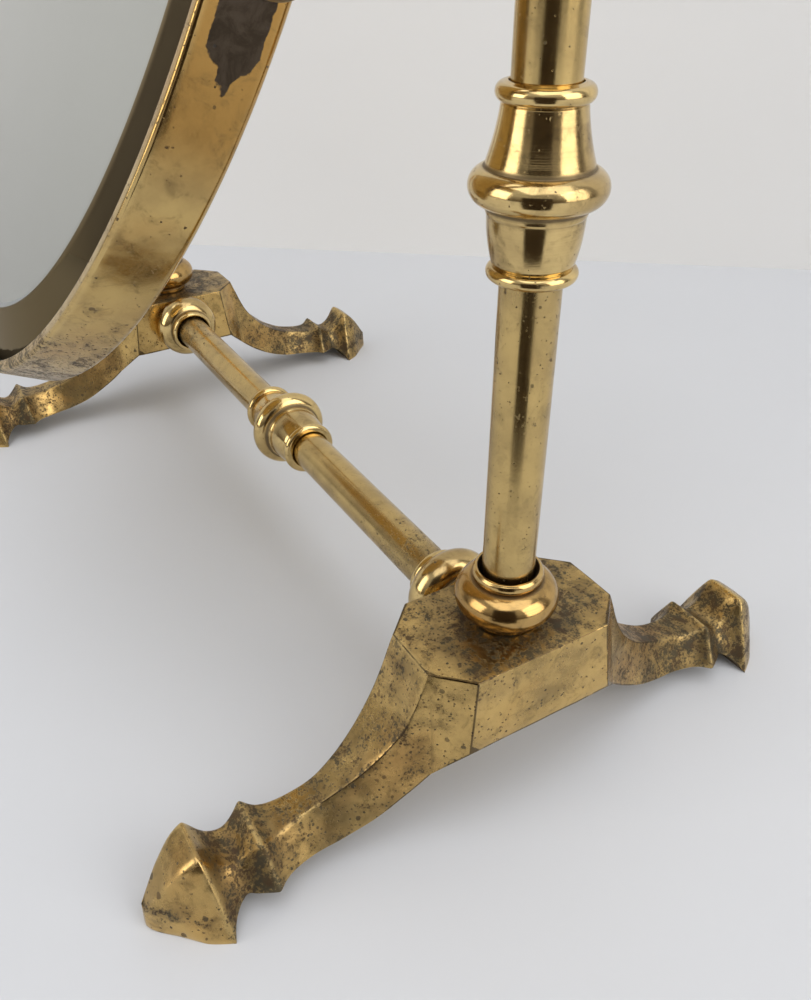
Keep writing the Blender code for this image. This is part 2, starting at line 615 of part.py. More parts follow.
def rail_collar(name, side, rail_z):
    """A collar on a column, with a cup facing inwards for the rail's end."""
    x = side * COLUMN_X
    inward = (-side, 0, 0)
    collar = lathe(name, collar_outline(), CAST_BRASS, (x, 0, rail_z - COLLAR_HEIGHT / 2))
    cup_root = SOCKET_RADIUS + COLLAR_WALL / 2
    cup = rod_cutter(name + "_cup", RAIL_RADIUS + GAP + CUP_WALL, cup_mouth - cup_root,
                     (x - side * cup_root, 0, rail_z), inward, EYE_STEPS)
    hole = rod_cutter(name + "_hole", RAIL_RADIUS + GAP, RAIL_SOCKET + CUTTER_PAST,
                      (x - side * (cup_mouth - RAIL_SOCKET), 0, rail_z), inward, EYE_STEPS)
    join(collar, cup)
    cut(collar, hole)


def nose_rest(name, x, rail_z):
    """A collar on a rail, with a curved stem that carries a spool in front of it."""
    bore = RAIL_RADIUS + GAP
    rest = washer(name, bore + REST_COLLAR_WALL, bore, REST_COLLAR_LENGTH, TURNED_BRASS,
                  (x - REST_COLLAR_LENGTH / 2, 0, rail_z), (1, 0, 0), SMALL_STEPS)
    stem = bar_cutter(name + "_stem", [
        (x, -bore - REST_COLLAR_WALL / 2, rail_z),
        (x, -REST_REACH * 0.65, rail_z + REST_RISE * 0.15),
        (x, -REST_REACH, rail_z + REST_RISE - 0.0010),
    ], REST_STEM_RADIUS)
    spool = lathe(name + "_spool", spool_outline(), None,
                  (x - SPOOL_LENGTH / 2, -REST_REACH, rail_z + REST_RISE), (1, 0, 0), SMALL_STEPS, cutters)
    join(rest, stem, spool)


cup_mouth = COLLAR_RADIUS + CUP_PROUD       # from the column's axis
rail_half = COLUMN_X - cup_mouth + RAIL_SOCKET - GAP
for tier, rail_z in enumerate(RAIL_HEIGHTS, start=1):
    label = "rail_%d" % tier
    rod(label, RAIL_RADIUS, 2 * rail_half, TUBE_BRASS, (-rail_half, 0, rail_z), (1, 0, 0), EYE_STEPS)
    for side_name, side in SIDES:
        rail_collar("%s_collar_%s" % (label, side_name), side, rail_z)
        nose_rest("%s_nose_rest_%s" % (label, side_name), side * REST_SPACING / 2, rail_z)
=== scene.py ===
"""Looks of an optician's brass counter stand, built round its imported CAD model.

Every length is in metres in the model's own frame: +Z up, X along the stretcher,
the mirror facing -Y.  Places come from the boxes of the CAD nodes.
"""

import json
import math

import bmesh
import bpy
import numpy as np
from mathutils import Matrix, Vector, noise
from mathutils.kdtree import KDTree


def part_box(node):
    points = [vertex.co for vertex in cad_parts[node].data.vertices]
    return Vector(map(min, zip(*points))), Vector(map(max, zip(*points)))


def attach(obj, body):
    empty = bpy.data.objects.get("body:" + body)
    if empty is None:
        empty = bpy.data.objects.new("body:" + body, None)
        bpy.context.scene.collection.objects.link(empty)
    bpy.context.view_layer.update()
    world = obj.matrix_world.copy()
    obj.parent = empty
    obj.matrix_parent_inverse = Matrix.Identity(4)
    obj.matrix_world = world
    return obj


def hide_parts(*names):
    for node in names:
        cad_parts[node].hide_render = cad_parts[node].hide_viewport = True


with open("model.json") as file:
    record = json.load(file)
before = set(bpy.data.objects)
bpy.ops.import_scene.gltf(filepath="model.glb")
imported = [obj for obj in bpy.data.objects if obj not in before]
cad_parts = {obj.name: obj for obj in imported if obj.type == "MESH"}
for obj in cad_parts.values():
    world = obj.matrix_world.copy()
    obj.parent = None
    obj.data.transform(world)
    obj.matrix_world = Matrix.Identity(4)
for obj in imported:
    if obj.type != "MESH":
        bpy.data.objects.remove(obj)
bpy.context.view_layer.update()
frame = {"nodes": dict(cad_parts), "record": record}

# ---------------- sizes shared by several pieces
GAP = 0.0003                  # clearance that the CAD pieces keep
FILLET = 0.00035              # rounding of a turned piece's corners
TURN_STEPS = 112              # sides of a turned piece
HOOP_STEPS = 288
ROD_STEPS = 64
RAIL_STEPS = 72
HOLLOW_GAIN = 3.2             # makes the right-angled corner of an outline about 0.75 hollow
SIDES = (("right", 1), ("left", -1))
UP = Vector((0, 0, 1))


def middle(node):
    low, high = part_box(node)
    return (low + high) / 2


def half_size(node):
    low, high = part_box(node)
    return (high - low) / 2


def reach_x(node):
    """Where a node starts and ends along X, measured outwards from the middle."""
    return sorted(abs(corner.x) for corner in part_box(node))


def heights(node):
    """The lowest and the highest place of a node."""
    return [corner.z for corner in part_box(node)]


COLUMN_X = middle("column_ring_right").x
TUBE_RADIUS = half_size("column_tube_lower_right").x
ROD_BORE = half_size("tie_rod_right").x + GAP
SOCKET = TUBE_RADIUS + GAP
STRETCHER_Z = middle("stretcher_knop").z
BLOCK_TOP = heights("foot_right")[1]


# ---------------- node helpers
class Shading:
    """A material's node tree, with short calls for the nodes that the finishes share."""

    def __init__(self, name):
        self.material = bpy.data.materials.new(name)
        self.material.use_nodes = True
        self.tree = self.material.node_tree
        self.surface = self.tree.nodes["Principled BSDF"]
        self.place = self.node("ShaderNodeTexCoord").outputs["Object"]

    def put(self, socket, value):
        if isinstance(value, bpy.types.NodeSocket):
            self.tree.links.new(value, socket)
        elif isinstance(value, tuple) and len(value) == 3 and socket.type == "RGBA":
            socket.default_value = (*value, 1.0)
        else:
            socket.default_value = value

    def node(self, kind, settings=None, **inputs):
        made = self.tree.nodes.new(kind)
        for key, value in (settings or {}).items():
            setattr(made, key, value)
        for key, value in inputs.items():
            self.put(made.inputs[key.replace("_", " ")], value)
        return made

    def noise(self, scale, detail=3.0, roughness=0.55, place=None, distortion=0.0):
        made = self.node("ShaderNodeTexNoise", Vector=place or self.place, Scale=scale,
                         Detail=detail, Roughness=roughness, Distortion=distortion)
        return made.outputs["Fac"]

    def speckles(self, scale, largest, share, place):
        """Round spots of many sizes; share is how many of the cells have one."""
        cells = self.node("ShaderNodeTexVoronoi", {"feature": "F1"}, Vector=place, Scale=scale)
        chance = self.node("ShaderNodeSeparateColor", Color=cells.outputs["Color"])
        size = self.times(self.plus(0.30, chance.outputs["Green"]), largest)
        spot = self.step(self.math("SUBTRACT", size, cells.outputs["Distance"]), -0.03, 0.06)
        depth = self.plus(0.60, self.times(chance.outputs["Blue"], 0.40))
        present = self.math("LESS_THAN", chance.outputs["Red"], share)
        return self.times(self.times(spot, depth), present)

    def shaken(self, scale, amount):
        """Object coordinates pushed about by noise, for ragged outlines."""
        push = self.node("ShaderNodeTexNoise", Vector=self.place, Scale=scale, Detail=3.0, Roughness=0.6)
        moved = self.node("ShaderNodeVectorMath", {"operation": "SCALE"}, Vector=push.outputs["Color"])
        self.put(moved.inputs["Scale"], amount)
        total = self.node("ShaderNodeVectorMath", {"operation": "ADD"})
        self.put(total.inputs[0], self.place)
        self.put(total.inputs[1], moved.outputs["Vector"])
        return total.outputs["Vector"]

    def stretched(self, scale):
        """Object coordinates scaled by axis, for brushed or turned marks."""
        return self.node("ShaderNodeMapping", Vector=self.place, Scale=scale).outputs["Vector"]

    def step(self, value, low, high):
        """0 where the value is at low, 1 where it is at high, smooth in between."""
        made = self.node("ShaderNodeMapRange", {"interpolation_type": "SMOOTHSTEP"}, Value=value)
        self.put(made.inputs["From Min"], low)
        self.put(made.inputs["From Max"], high)
        return made.outputs["Result"]

    def math(self, operation, a, b=0.0):
        made = self.node("ShaderNodeMath", {"operation": operation})
        self.put(made.inputs[0], a)
        self.put(made.inputs[1], b)
        return made.outputs["Value"]

    def times(self, a, b):
        return self.math("MULTIPLY", a, b)

    def plus(self, a, b):
        return self.math("ADD", a, b)

    def swing(self, value, amount):
        """A noise value as a change to either side of nothing."""
        return self.times(self.math("SUBTRACT", value, 0.5), amount)

    def clamp(self, value):
        return self.node("ShaderNodeClamp", Value=value).outputs["Result"]

    def attribute(self, name):
        return self.node("ShaderNodeAttribute", {"attribute_name": name}).outputs["Fac"]

    def mix_colour(self, share, a, b):
        made = self.node("ShaderNodeMix", {"data_type": "RGBA"})
        self.put(made.inputs["Factor"], share)
        self.put(made.inputs[6], a)
        self.put(made.inputs[7], b)
        return made.outputs[2]

    def mix_value(self, share, a, b):
        made = self.node("ShaderNodeMix", {"data_type": "FLOAT"})
        self.put(made.inputs["Factor"], share)
        self.put(made.inputs[2], a)
        self.put(made.inputs[3], b)
        return made.outputs[0]

    def bump(self, height, distance, strength=1.0, after=None):
        made = self.node("ShaderNodeBump", Height=height, Distance=distance, Strength=strength)
        if after:
            self.put(made.inputs["Normal"], after)
        return made.outputs["Normal"]

    def finish(self, **inputs):
        for key, value in inputs.items():
            self.put(self.surface.inputs[key.replace("_", " ")], value)
        return self.material


AMBER = (0.40, 0.215, 0.055)
BARE_EDGE = (0.86, 0.64, 0.28)
GRIME = (0.085, 0.062, 0.038)
PIT_BROWN = (0.045, 0.024, 0.013)
PIT_GREEN = (0.036, 0.035, 0.025)
# colour of the broken dark line of painted shade along sharp edges
EDGE_LINE_SHADE = (0.040, 0.026, 0.016)
# black oxide colours, also used as painted shade in the mirror's recess
SOOT_AND_SHADE_DARK = (0.020, 0.016, 0.012)
SOOT_AND_SHADE_LIGHT = (0.062, 0.048, 0.036)
LATHE_BROWN = (0.20, 0.13, 0.055)
MATT = 0.60                   # roughness of pits and grime


def tarnished(s, gold, brown, film, patches, stain_and_shade):
    """The metal's colour: bare and filmed patches, warm clouds and orange places."""
    filmed = s.clamp(s.plus(s.times(s.step(patches, 0.34, 0.70), film), s.times(stain_and_shade, 0.45)))
    colour = s.mix_colour(filmed, gold, brown)
    warm = s.step(s.noise(33.0, 3.0, 0.5, distortion=0.6), 0.50, 0.75)
    warm_gold = (gold[0] * 0.80, gold[1] * 0.62, gold[2] * 0.50)
    colour = s.mix_colour(s.times(warm, 0.45), colour, warm_gold)
    return s.mix_colour(s.attribute("amber"), colour, AMBER)


def pitted(s, pitting, spot_scale, stain_and_shade, broad):
    """Where the metal has dark pits and mottle, and where a haze lies round them."""
    ragged = s.shaken(1300.0, 0.0007)
    regions = s.step(s.noise(95.0, 3.0, 0.6), 0.42, 0.64)
    share = s.plus(s.times(s.plus(0.25, regions), pitting), s.times(stain_and_shade, 0.55))
    small = s.speckles(spot_scale * 1.9, 0.36, share, ragged)
    large = s.speckles(spot_scale * 0.62, 0.26, s.times(share, 0.75), ragged)
    heavy = s.plus(s.times(stain_and_shade, 0.125), s.times(regions, pitting * 0.06))
    grain = s.plus(s.times(s.noise(1000.0, 6.0, 0.78), 0.55), s.times(broad, 0.45))
    mottle = s.step(s.plus(grain, heavy), 0.60, 0.66)
    dark = s.clamp(s.math("MAXIMUM", s.math("MAXIMUM", small, large), s.times(mottle, 0.90)))
    return dark, s.step(s.plus(broad, heavy), 0.48, 0.68)


def brass(name, gold, brown, rough, film, pitting, spot_scale=760.0,
          ripple=0.0, lathe_marks=0.0, streaks=0.0, edge_line_shade=0.0):
    """Old brass: a tarnish film, dark pits, grime in its hollows and bare metal on its edges.

    The pieces' own attributes steer it: hollow is + in hollows and - on edges; the stain
    attribute is 1 where the tarnish is heaviest and also carries painted shade; the patina
    attribute marks black oxide and also painted shade in recesses; amber marks orange; and
    crease marks the sharp lines that get a broken dark line of painted shade.
    """
    s = Shading(name)
    hollow = s.attribute("hollow")
    stain_and_shade = s.attribute("stain_and_shade")
    patches = s.noise(70.0, 4.0, 0.6)
    fine = s.noise(1500.0, 2.0, 0.6)
    broad = s.noise(210.0, 5.0, 0.72, distortion=0.5)
    torn = s.swing(s.noise(520.0, 4.0, 0.65), 0.55)
    patina_and_shade = s.step(s.plus(s.attribute("patina_and_shade"), torn), 0.46, 0.56)
    dark, haze = pitted(s, pitting, spot_scale, stain_and_shade, broad)
    grime = s.step(s.plus(hollow, s.swing(s.noise(22.0, 2.0, 0.5), 0.18)), 0.05, 0.34)
    edge = s.step(s.times(hollow, -1.0), 0.10, 0.38)

    colour = tarnished(s, gold, brown, film, patches, stain_and_shade)
    pit_colour = s.mix_colour(s.step(s.noise(300.0, 2.0), 0.4, 0.6), PIT_BROWN, PIT_GREEN)
    hazy_brown = tuple(0.42 * c for c in brown)
    for place, share, over in ((haze, 0.42, hazy_brown), (edge, 0.25, BARE_EDGE),
                               (grime, 0.78, GRIME), (dark, 0.90, pit_colour)):
        colour = s.mix_colour(s.times(place, share), colour, over)
    # painted shade: a broken dark line along the sharp edges where facets meet
    if edge_line_shade:
        gaps = s.step(s.noise(260.0, 3.0, 0.6), 0.26, 0.46)
        line = s.times(s.step(s.attribute("crease"), 0.80, 0.95), gaps)
        colour = s.mix_colour(s.times(line, edge_line_shade), colour, EDGE_LINE_SHADE)
    # black oxide at joints and pivots; on the hoop's inner wall the same black is painted shade
    soot_and_shade = s.mix_colour(s.step(broad, 0.36, 0.64), SOOT_AND_SHADE_DARK, SOOT_AND_SHADE_LIGHT)
    colour = s.mix_colour(s.times(patina_and_shade, 0.95), colour, soot_and_shade)

    roughness = s.mix_value(s.step(patches, 0.3, 0.75), rough * 0.78, rough * 1.25)
    for place, share, over in ((stain_and_shade, 0.5, MATT * 0.7), (grime, 0.75, MATT), (dark, 0.8, MATT)):
        roughness = s.mix_value(s.times(place, share), roughness, over)
    roughness = s.plus(roughness, s.swing(fine, 0.10))
    roughness = s.mix_value(s.times(patina_and_shade, 0.8), roughness, MATT * 0.7)
    dull = s.plus(s.times(dark, 0.45), s.times(grime, 0.25))
    dull = s.clamp(s.plus(dull, s.times(patina_and_shade, 0.35)))
    metallic = s.mix_value(dull, 1.0, 0.25)

    normal = s.bump(s.math("SUBTRACT", 1.0, dark), 0.00008, 0.5)
    normal = s.bump(fine, 0.00002, 0.35, normal)
    if ripple:
        normal = s.bump(s.noise(95.0, 2.0, 0.45), ripple, 1.0, normal)
    if lathe_marks:
        rings = s.noise(1.0, 4.0, 0.7, s.stretched((4.0, 4.0, 2600.0)))
        normal = s.bump(rings, lathe_marks, 1.0, normal)
        colour = s.mix_colour(s.times(s.step(rings, 0.45, 0.8), 0.25), colour, LATHE_BROWN)
    if streaks:
        lines = s.noise(1.0, 3.0, 0.6, s.stretched((1400.0, 1400.0, 26.0)))
        normal = s.bump(lines, streaks, 1.0, normal)
        roughness = s.plus(roughness, s.swing(lines, 0.14))
    return s.finish(Base_Color=colour, Roughness=roughness, Metallic=metallic, Normal=normal)


def aged_mirror(name, bright, dull, low_shade, edge_tint=(1.0, 1.0, 1.0)):
    """Silvering with faint ripple and haze, painted darker low down as a painted darker reflection, and
    painted black round the rim as painted shade.
    """
    s = Shading(name)
    colour = s.mix_colour(s.noise(30.0, 3.0, 0.5), bright, dull)
    low_colour = tuple(low_shade * c for c in dull)
    # painted darker reflection: the silvering is darker towards the bottom
    colour = s.mix_colour(s.times(s.attribute("stain_and_shade"), 0.85), colour, low_colour)
    # painted shade: a black band round the rim, for the gap under the hoop's lip
    rim_shade = s.plus(s.attribute("patina_and_shade"), s.swing(s.noise(300.0, 3.0), 0.5))
    rim_shade = s.step(rim_shade, 0.35, 0.60)
    colour = s.mix_colour(rim_shade, colour, SOOT_AND_SHADE_DARK)
    roughness = s.mix_value(s.step(s.noise(260.0, 4.0, 0.6), 0.45, 0.8), 0.018, 0.05)
    roughness = s.mix_value(rim_shade, roughness, 0.45)
    normal = s.bump(s.noise(9.0, 1.0, 0.3), 0.00002, 0.3)
    s.surface.inputs["Specular Tint"].default_value = (*edge_tint, 1.0)
    return s.finish(Base_Color=colour, Roughness=roughness, Metallic=1.0, Normal=normal)


def worn_steel():
    s = Shading("threaded_steel")
    rust = s.step(s.noise(240.0, 4.0, 0.65), 0.5, 0.72)
    colour = s.mix_colour(rust, (0.36, 0.35, 0.34), (0.14, 0.075, 0.04))
    roughness = s.mix_value(rust, 0.38, 0.75)
    metallic = s.mix_value(rust, 1.0, 0.3)
    normal = s.bump(s.noise(900.0, 3.0, 0.6), 0.00005, 0.6)
    return s.finish(Base_Color=colour, Roughness=roughness, Metallic=metallic, Normal=normal)


def washer_leather():
    s = Shading("washer_leather")
    grain = s.noise(900.0, 4.0, 0.6)
    colour = s.mix_colour(grain, (0.030, 0.017, 0.011), (0.095, 0.052, 0.030))
    roughness = s.mix_value(grain, 0.62, 0.85)
    return s.finish(Base_Color=colour, Roughness=roughness, Normal=s.bump(grain, 0.0001, 0.8))


def board_wood():
    s = Shading("backing_softwood")
    rings = s.noise(1.0, 5.0, 0.6, s.stretched((8.0, 160.0, 160.0)), 0.8)
    colour = s.mix_colour(s.step(rings, 0.35, 0.68), (0.20, 0.125, 0.065), (0.085, 0.048, 0.026))
    roughness = s.mix_value(rings, 0.70, 0.90)
    return s.finish(Base_Color=colour, Roughness=roughness, Normal=s.bump(rings, 0.0002, 0.6))


CAST = brass("cast_brass_old", gold=(0.66, 0.45, 0.165), brown=(0.25, 0.175, 0.076),
             rough=0.25, film=0.70, pitting=0.46, spot_scale=590.0, ripple=0.0007, edge_line_shade=0.80)
TURNED = brass("turned_brass_polished", gold=(0.70, 0.515, 0.225), brown=(0.34, 0.235, 0.105),
               rough=0.16, film=0.70, pitting=0.035, spot_scale=1200.0, lathe_marks=0.000016)
TUBE = brass("drawn_tube_brass", gold=(0.52, 0.365, 0.140), brown=(0.24, 0.165, 0.072),
             rough=0.22, film=0.75, pitting=0.09, spot_scale=1150.0, streaks=0.000014)
HOOP = brass("hoop_band_brass", gold=(0.60, 0.425, 0.165), brown=(0.34, 0.23, 0.100),
             rough=0.19, film=0.60, pitting=0.03, spot_scale=800.0, ripple=0.0003)
DARK = brass("pivot_dark_brass", gold=(0.13, 0.085, 0.065), brown=(0.05, 0.036, 0.034),
             rough=0.34, film=0.60, pitting=0.10)
# low_shade paints the glass darker low down: a painted darker reflection
GLASS = aged_mirror("silvered_plate_glass", (0.52, 0.53, 0.49), (0.485, 0.495, 0.458), 0.70)
# the bevel's silvering is painted brown and darker low down: a painted reflection
PAINTED_BEVEL_REFLECTION = aged_mirror("bevel_painted_reflection", (0.270, 0.213, 0.132), (0.225, 0.177, 0.108), 0.45,
                    edge_tint=(0.72, 0.65, 0.54))
STEEL = worn_steel()
LEATHER = washer_leather()
WOOD = board_wood()


# ---------------- outlines
def arc(centre, radii, start, end, steps=20):
    """Points on part of an ellipse of a turned outline; in degrees, 0 is outwards."""
    points = []
    for i in range(steps + 1):
        angle = math.radians(start + (end - start) * i / steps)
        points.append((centre[0] + radii[0] * math.cos(angle), centre[1] + radii[1] * math.sin(angle)))
    return points


def bow(start, end, rise, steps=10):
    """A shallow curve between two outline points, bulging to the left of its way."""
    (r0, z0), (r1, z1) = start, end
    length = math.hypot(r1 - r0, z1 - z0)
    left = ((z0 - z1) / length, (r1 - r0) / length)
    points = []
    for i in range(steps + 1):
        t = i / steps
        lift = 4 * rise * t * (1 - t)
        points.append((r0 + (r1 - r0) * t + left[0] * lift, z0 + (z1 - z0) * t + left[1] * lift))
    return points


def filleted(points, closed, radius=FILLET, segments=4):
    """The outline with each real corner rounded."""
    result = []
    count = len(points)
    for i, point in enumerate(points):
        here = Vector(point)
        if not closed and i in (0, count - 1):
            result.append(tuple(here))
            continue
        back = Vector(points[i - 1]) - here
        ahead = Vector(points[(i + 1) % count]) - here
        if back.length < 1e-7 or ahead.length < 1e-7:
            continue
        turn = math.pi - back.angle(ahead)
        if turn < math.radians(22):
            result.append(tuple(here))
            continue
        reach = min(radius * math.tan(turn / 2), 0.42 * back.length, 0.42 * ahead.length)
        first = here + back.normalized() * reach
        last = here + ahead.normalized() * reach
        for k in range(segments + 1):
            t = k / segments
            result.append(tuple((1 - t) ** 2 * first + 2 * t * (1 - t) * here + t ** 2 * last))
    return result


def spread(points, closed, longest=0.0016):
    """The outline with its long runs divided, so that wear has points to sit on."""
    result = []
    count = len(points)
    for i in range(count if closed else count - 1):
        a, b = Vector(points[i]), Vector(points[(i + 1) % count])
        parts = max(1, math.ceil((b - a).length / longest))
        result += [tuple(a.lerp(b, k / parts)) for k in range(parts)]
    if not closed:
        result.append(tuple(points[-1]))
    return result


# ---------------- building pieces
def new_piece(name, verts, faces, material):
    mesh = bpy.data.meshes.new(name)
    mesh.from_pydata(verts, [], faces)
    mesh.update()
    mesh.materials.append(material)
    thing = bpy.data.objects.new(name, mesh)
    bpy.context.scene.collection.objects.link(thing)
    return thing


def set_attribute(mesh, name, values):
    layer = mesh.attributes.get(name) or mesh.attributes.new(name, "FLOAT", "POINT")
    layer.data.foreach_set("value", np.asarray(values, dtype=np.float32))


def vertex_rows(mesh, kind):
    """The vertices' places, kind "co", or directions, kind "normal", one row each."""
    values = np.empty(len(mesh.vertices) * 3, dtype=np.float32)
    mesh.vertices.foreach_get(kind, values)
    return values.reshape(-1, 3)


def outline_hollows(outline, closed, reach=0.0022):
    """How hollow (+) or proud (-) an outline is at each of its points."""
    points = np.array(outline)
    after = np.roll(points, -1, axis=0) - points
    before = points - np.roll(points, 1, axis=0)
    if not closed:
        after[-1] = before[-1]
        before[0] = after[0]
    along = after + before
    normals = np.stack([-along[:, 1], along[:, 0]], axis=1)
    normals /= np.maximum(np.linalg.norm(normals, axis=1, keepdims=True), 1e-9)
    weights = (np.linalg.norm(after, axis=1) + np.linalg.norm(before, axis=1)) / 2
    apart = points[None, :, :] - points[:, None, :]
    distance = np.linalg.norm(apart, axis=2)
    share = weights[None, :] * np.clip(1 - distance / reach, 0, None)
    height = np.einsum("ijk,ik->ij", apart, normals) / reach
    return HOLLOW_GAIN * (share * height).sum(axis=1) / np.maximum(share.sum(axis=1), 1e-9)


def smooth_faces(thing, angle=38):
    thing.data.shade_smooth()
    thing.data.set_sharp_from_angle(angle=math.radians(angle))


def settle(thing, node, body):
    """Hide the CAD node that a piece takes the place of, and attach the piece to the body it moves with."""
    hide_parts(node)
    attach(thing, body)
    return thing


def skin(rows, closed=False):
    """Faces between rings of vertex numbers; a ring on the axis has one number throughout."""
    faces = []
    pairs = list(zip(rows, rows[1:]))
    if closed:
        pairs.append((rows[-1], rows[0]))
    for upper, lower in pairs:
        for k, (a, b) in enumerate(zip(upper, lower)):
            j = (k + 1) % len(upper)
            corners = [a, b, lower[j], upper[j]]
            face = [v for i, v in enumerate(corners) if v not in corners[:i]]
            if len(face) > 2:
                faces.append(face)
    return faces


def turned(name, outline, material, at, axis=UP, steps=TURN_STEPS, fillet=FILLET, marks=None):
    """Turn an outline of (radius, height) points, top to bottom down its outer side.

    An outline that starts on the axis also ends there; any other closes into a ring.
    marks gives more attributes from the points' places.
    """
    closed = outline[0][0] > 1e-6
    points = spread(filleted(outline, closed, fillet), closed)
    verts, hollow, rows = [], [], []
    for (radius, height), value in zip(points, outline_hollows(points, closed)):
        count = 1 if radius < 1e-6 else steps
        rows.append([len(verts) + k % count for k in range(steps)])
        for k in range(count):
            angle = 2 * math.pi * k / steps
            verts.append((radius * math.cos(angle), radius * math.sin(angle), height))
            hollow.append(value)
    thing = new_piece(name, verts, skin(rows, closed), material)
    thing.matrix_world = Matrix.Translation(at) @ Vector(axis).to_track_quat("Z", "Y").to_matrix().to_4x4()
    set_attribute(thing.data, "hollow", hollow)
    if marks:
        world = vertex_rows(thing.data, "co") @ np.array(thing.matrix_world.to_3x3()).T + np.array(at)
        for attribute, values in marks(world).items():
            set_attribute(thing.data, attribute, values)
    smooth_faces(thing)
    return thing


def mesh_hollows(mesh, reach=0.0026):
    """The same measure as outline_hollows, for any fine mesh."""
    points = vertex_rows(mesh, "co")
    normals = vertex_rows(mesh, "normal")
    tree = KDTree(len(points))
    for i, point in enumerate(points):
        tree.insert(point, i)
    tree.balance()
    values = np.zeros(len(points))
    for i, point in enumerate(points):
        near = [k for _, k, _ in tree.find_range(point, reach)]
        apart = points[near] - point
        share = np.clip(1 - np.linalg.norm(apart, axis=1) / reach, 0, None)
        share *= normals[near] @ normals[i] > -0.2
        height = apart @ normals[i] / reach
        values[i] = HOLLOW_GAIN * (share * height).sum() / max(share.sum(), 1e-9)
    return values


def smoothstep(values, low, high):
    t = np.clip((values - low) / (high - low), 0, 1)
    return t * t * (3 - 2 * t)


# ---------------- feet
SOLE_BAND = 0.0055            # height of the toe's upright edge
CAST_EASING = 0.00042         # rounding of a casting's edges
CAST_WAVES = 0.00014          # unevenness of a casting's faces
WAVES_APART = 3.7             # takes each foot's waves from another part of the noise
ANKLE_HEIGHTS = (0.0169, 0.0117, 0.0068)      # of the leg's upper edge, waist and lower edge
FOOT_LOW, FOOT_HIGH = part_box("foot_right")
BLOCK_FLOOR = BLOCK_TOP - 0.0215      # the block's lower edge
BLOCK_FLARE = 0.0015          # the block's lower edge stands out by this
BLOCK_HALF_WIDTH = (FOOT_HIGH.x - FOOT_LOW.x) / 2 - BLOCK_FLARE
TOE_REACH = FOOT_HIGH.y - 0.0004
BLOCK_END = 0.0277
CORNER_CUT = 0.0084           # length of the block's cut corners
CROWN = TOE_REACH - 0.0136
NECK = CROWN - 0.0084
BEAD = CROWN - 0.0144
ANKLE = CROWN - 0.0264


def catmull(points, t):
    """A point on the smooth curve through a list of points, at t in knots."""
    i = min(int(t), len(points) - 2)
    f = t - i
    before = points[max(i - 1, 0)]
    after = points[min(i + 2, len(points) - 1)]
    result = []
    for p0, p1, p2, p3 in zip(before, points[i], points[i + 1], after):
        value = (2 * f**3 - 3 * f**2 + 1) * p1 + (f**3 - 2 * f**2 + f) * (p2 - p0) / 2
        value += (3 * f**2 - 2 * f**3) * p2 + (f**3 - f**2) * (p3 - p1) / 2
        result.append(value)
    return result


def smooth_run(points, divisions=8):
    count = (len(points) - 1) * divisions
    return [catmull(points, i / divisions) for i in range(count + 1)]


def leg_station(reaches, half_widths, shares):
    station = []
    for reach, half, share, ankle in zip(reaches, half_widths, shares, ANKLE_HEIGHTS):
        station += [reach, half, BLOCK_TOP - share * (BLOCK_TOP - ankle)]
    return station


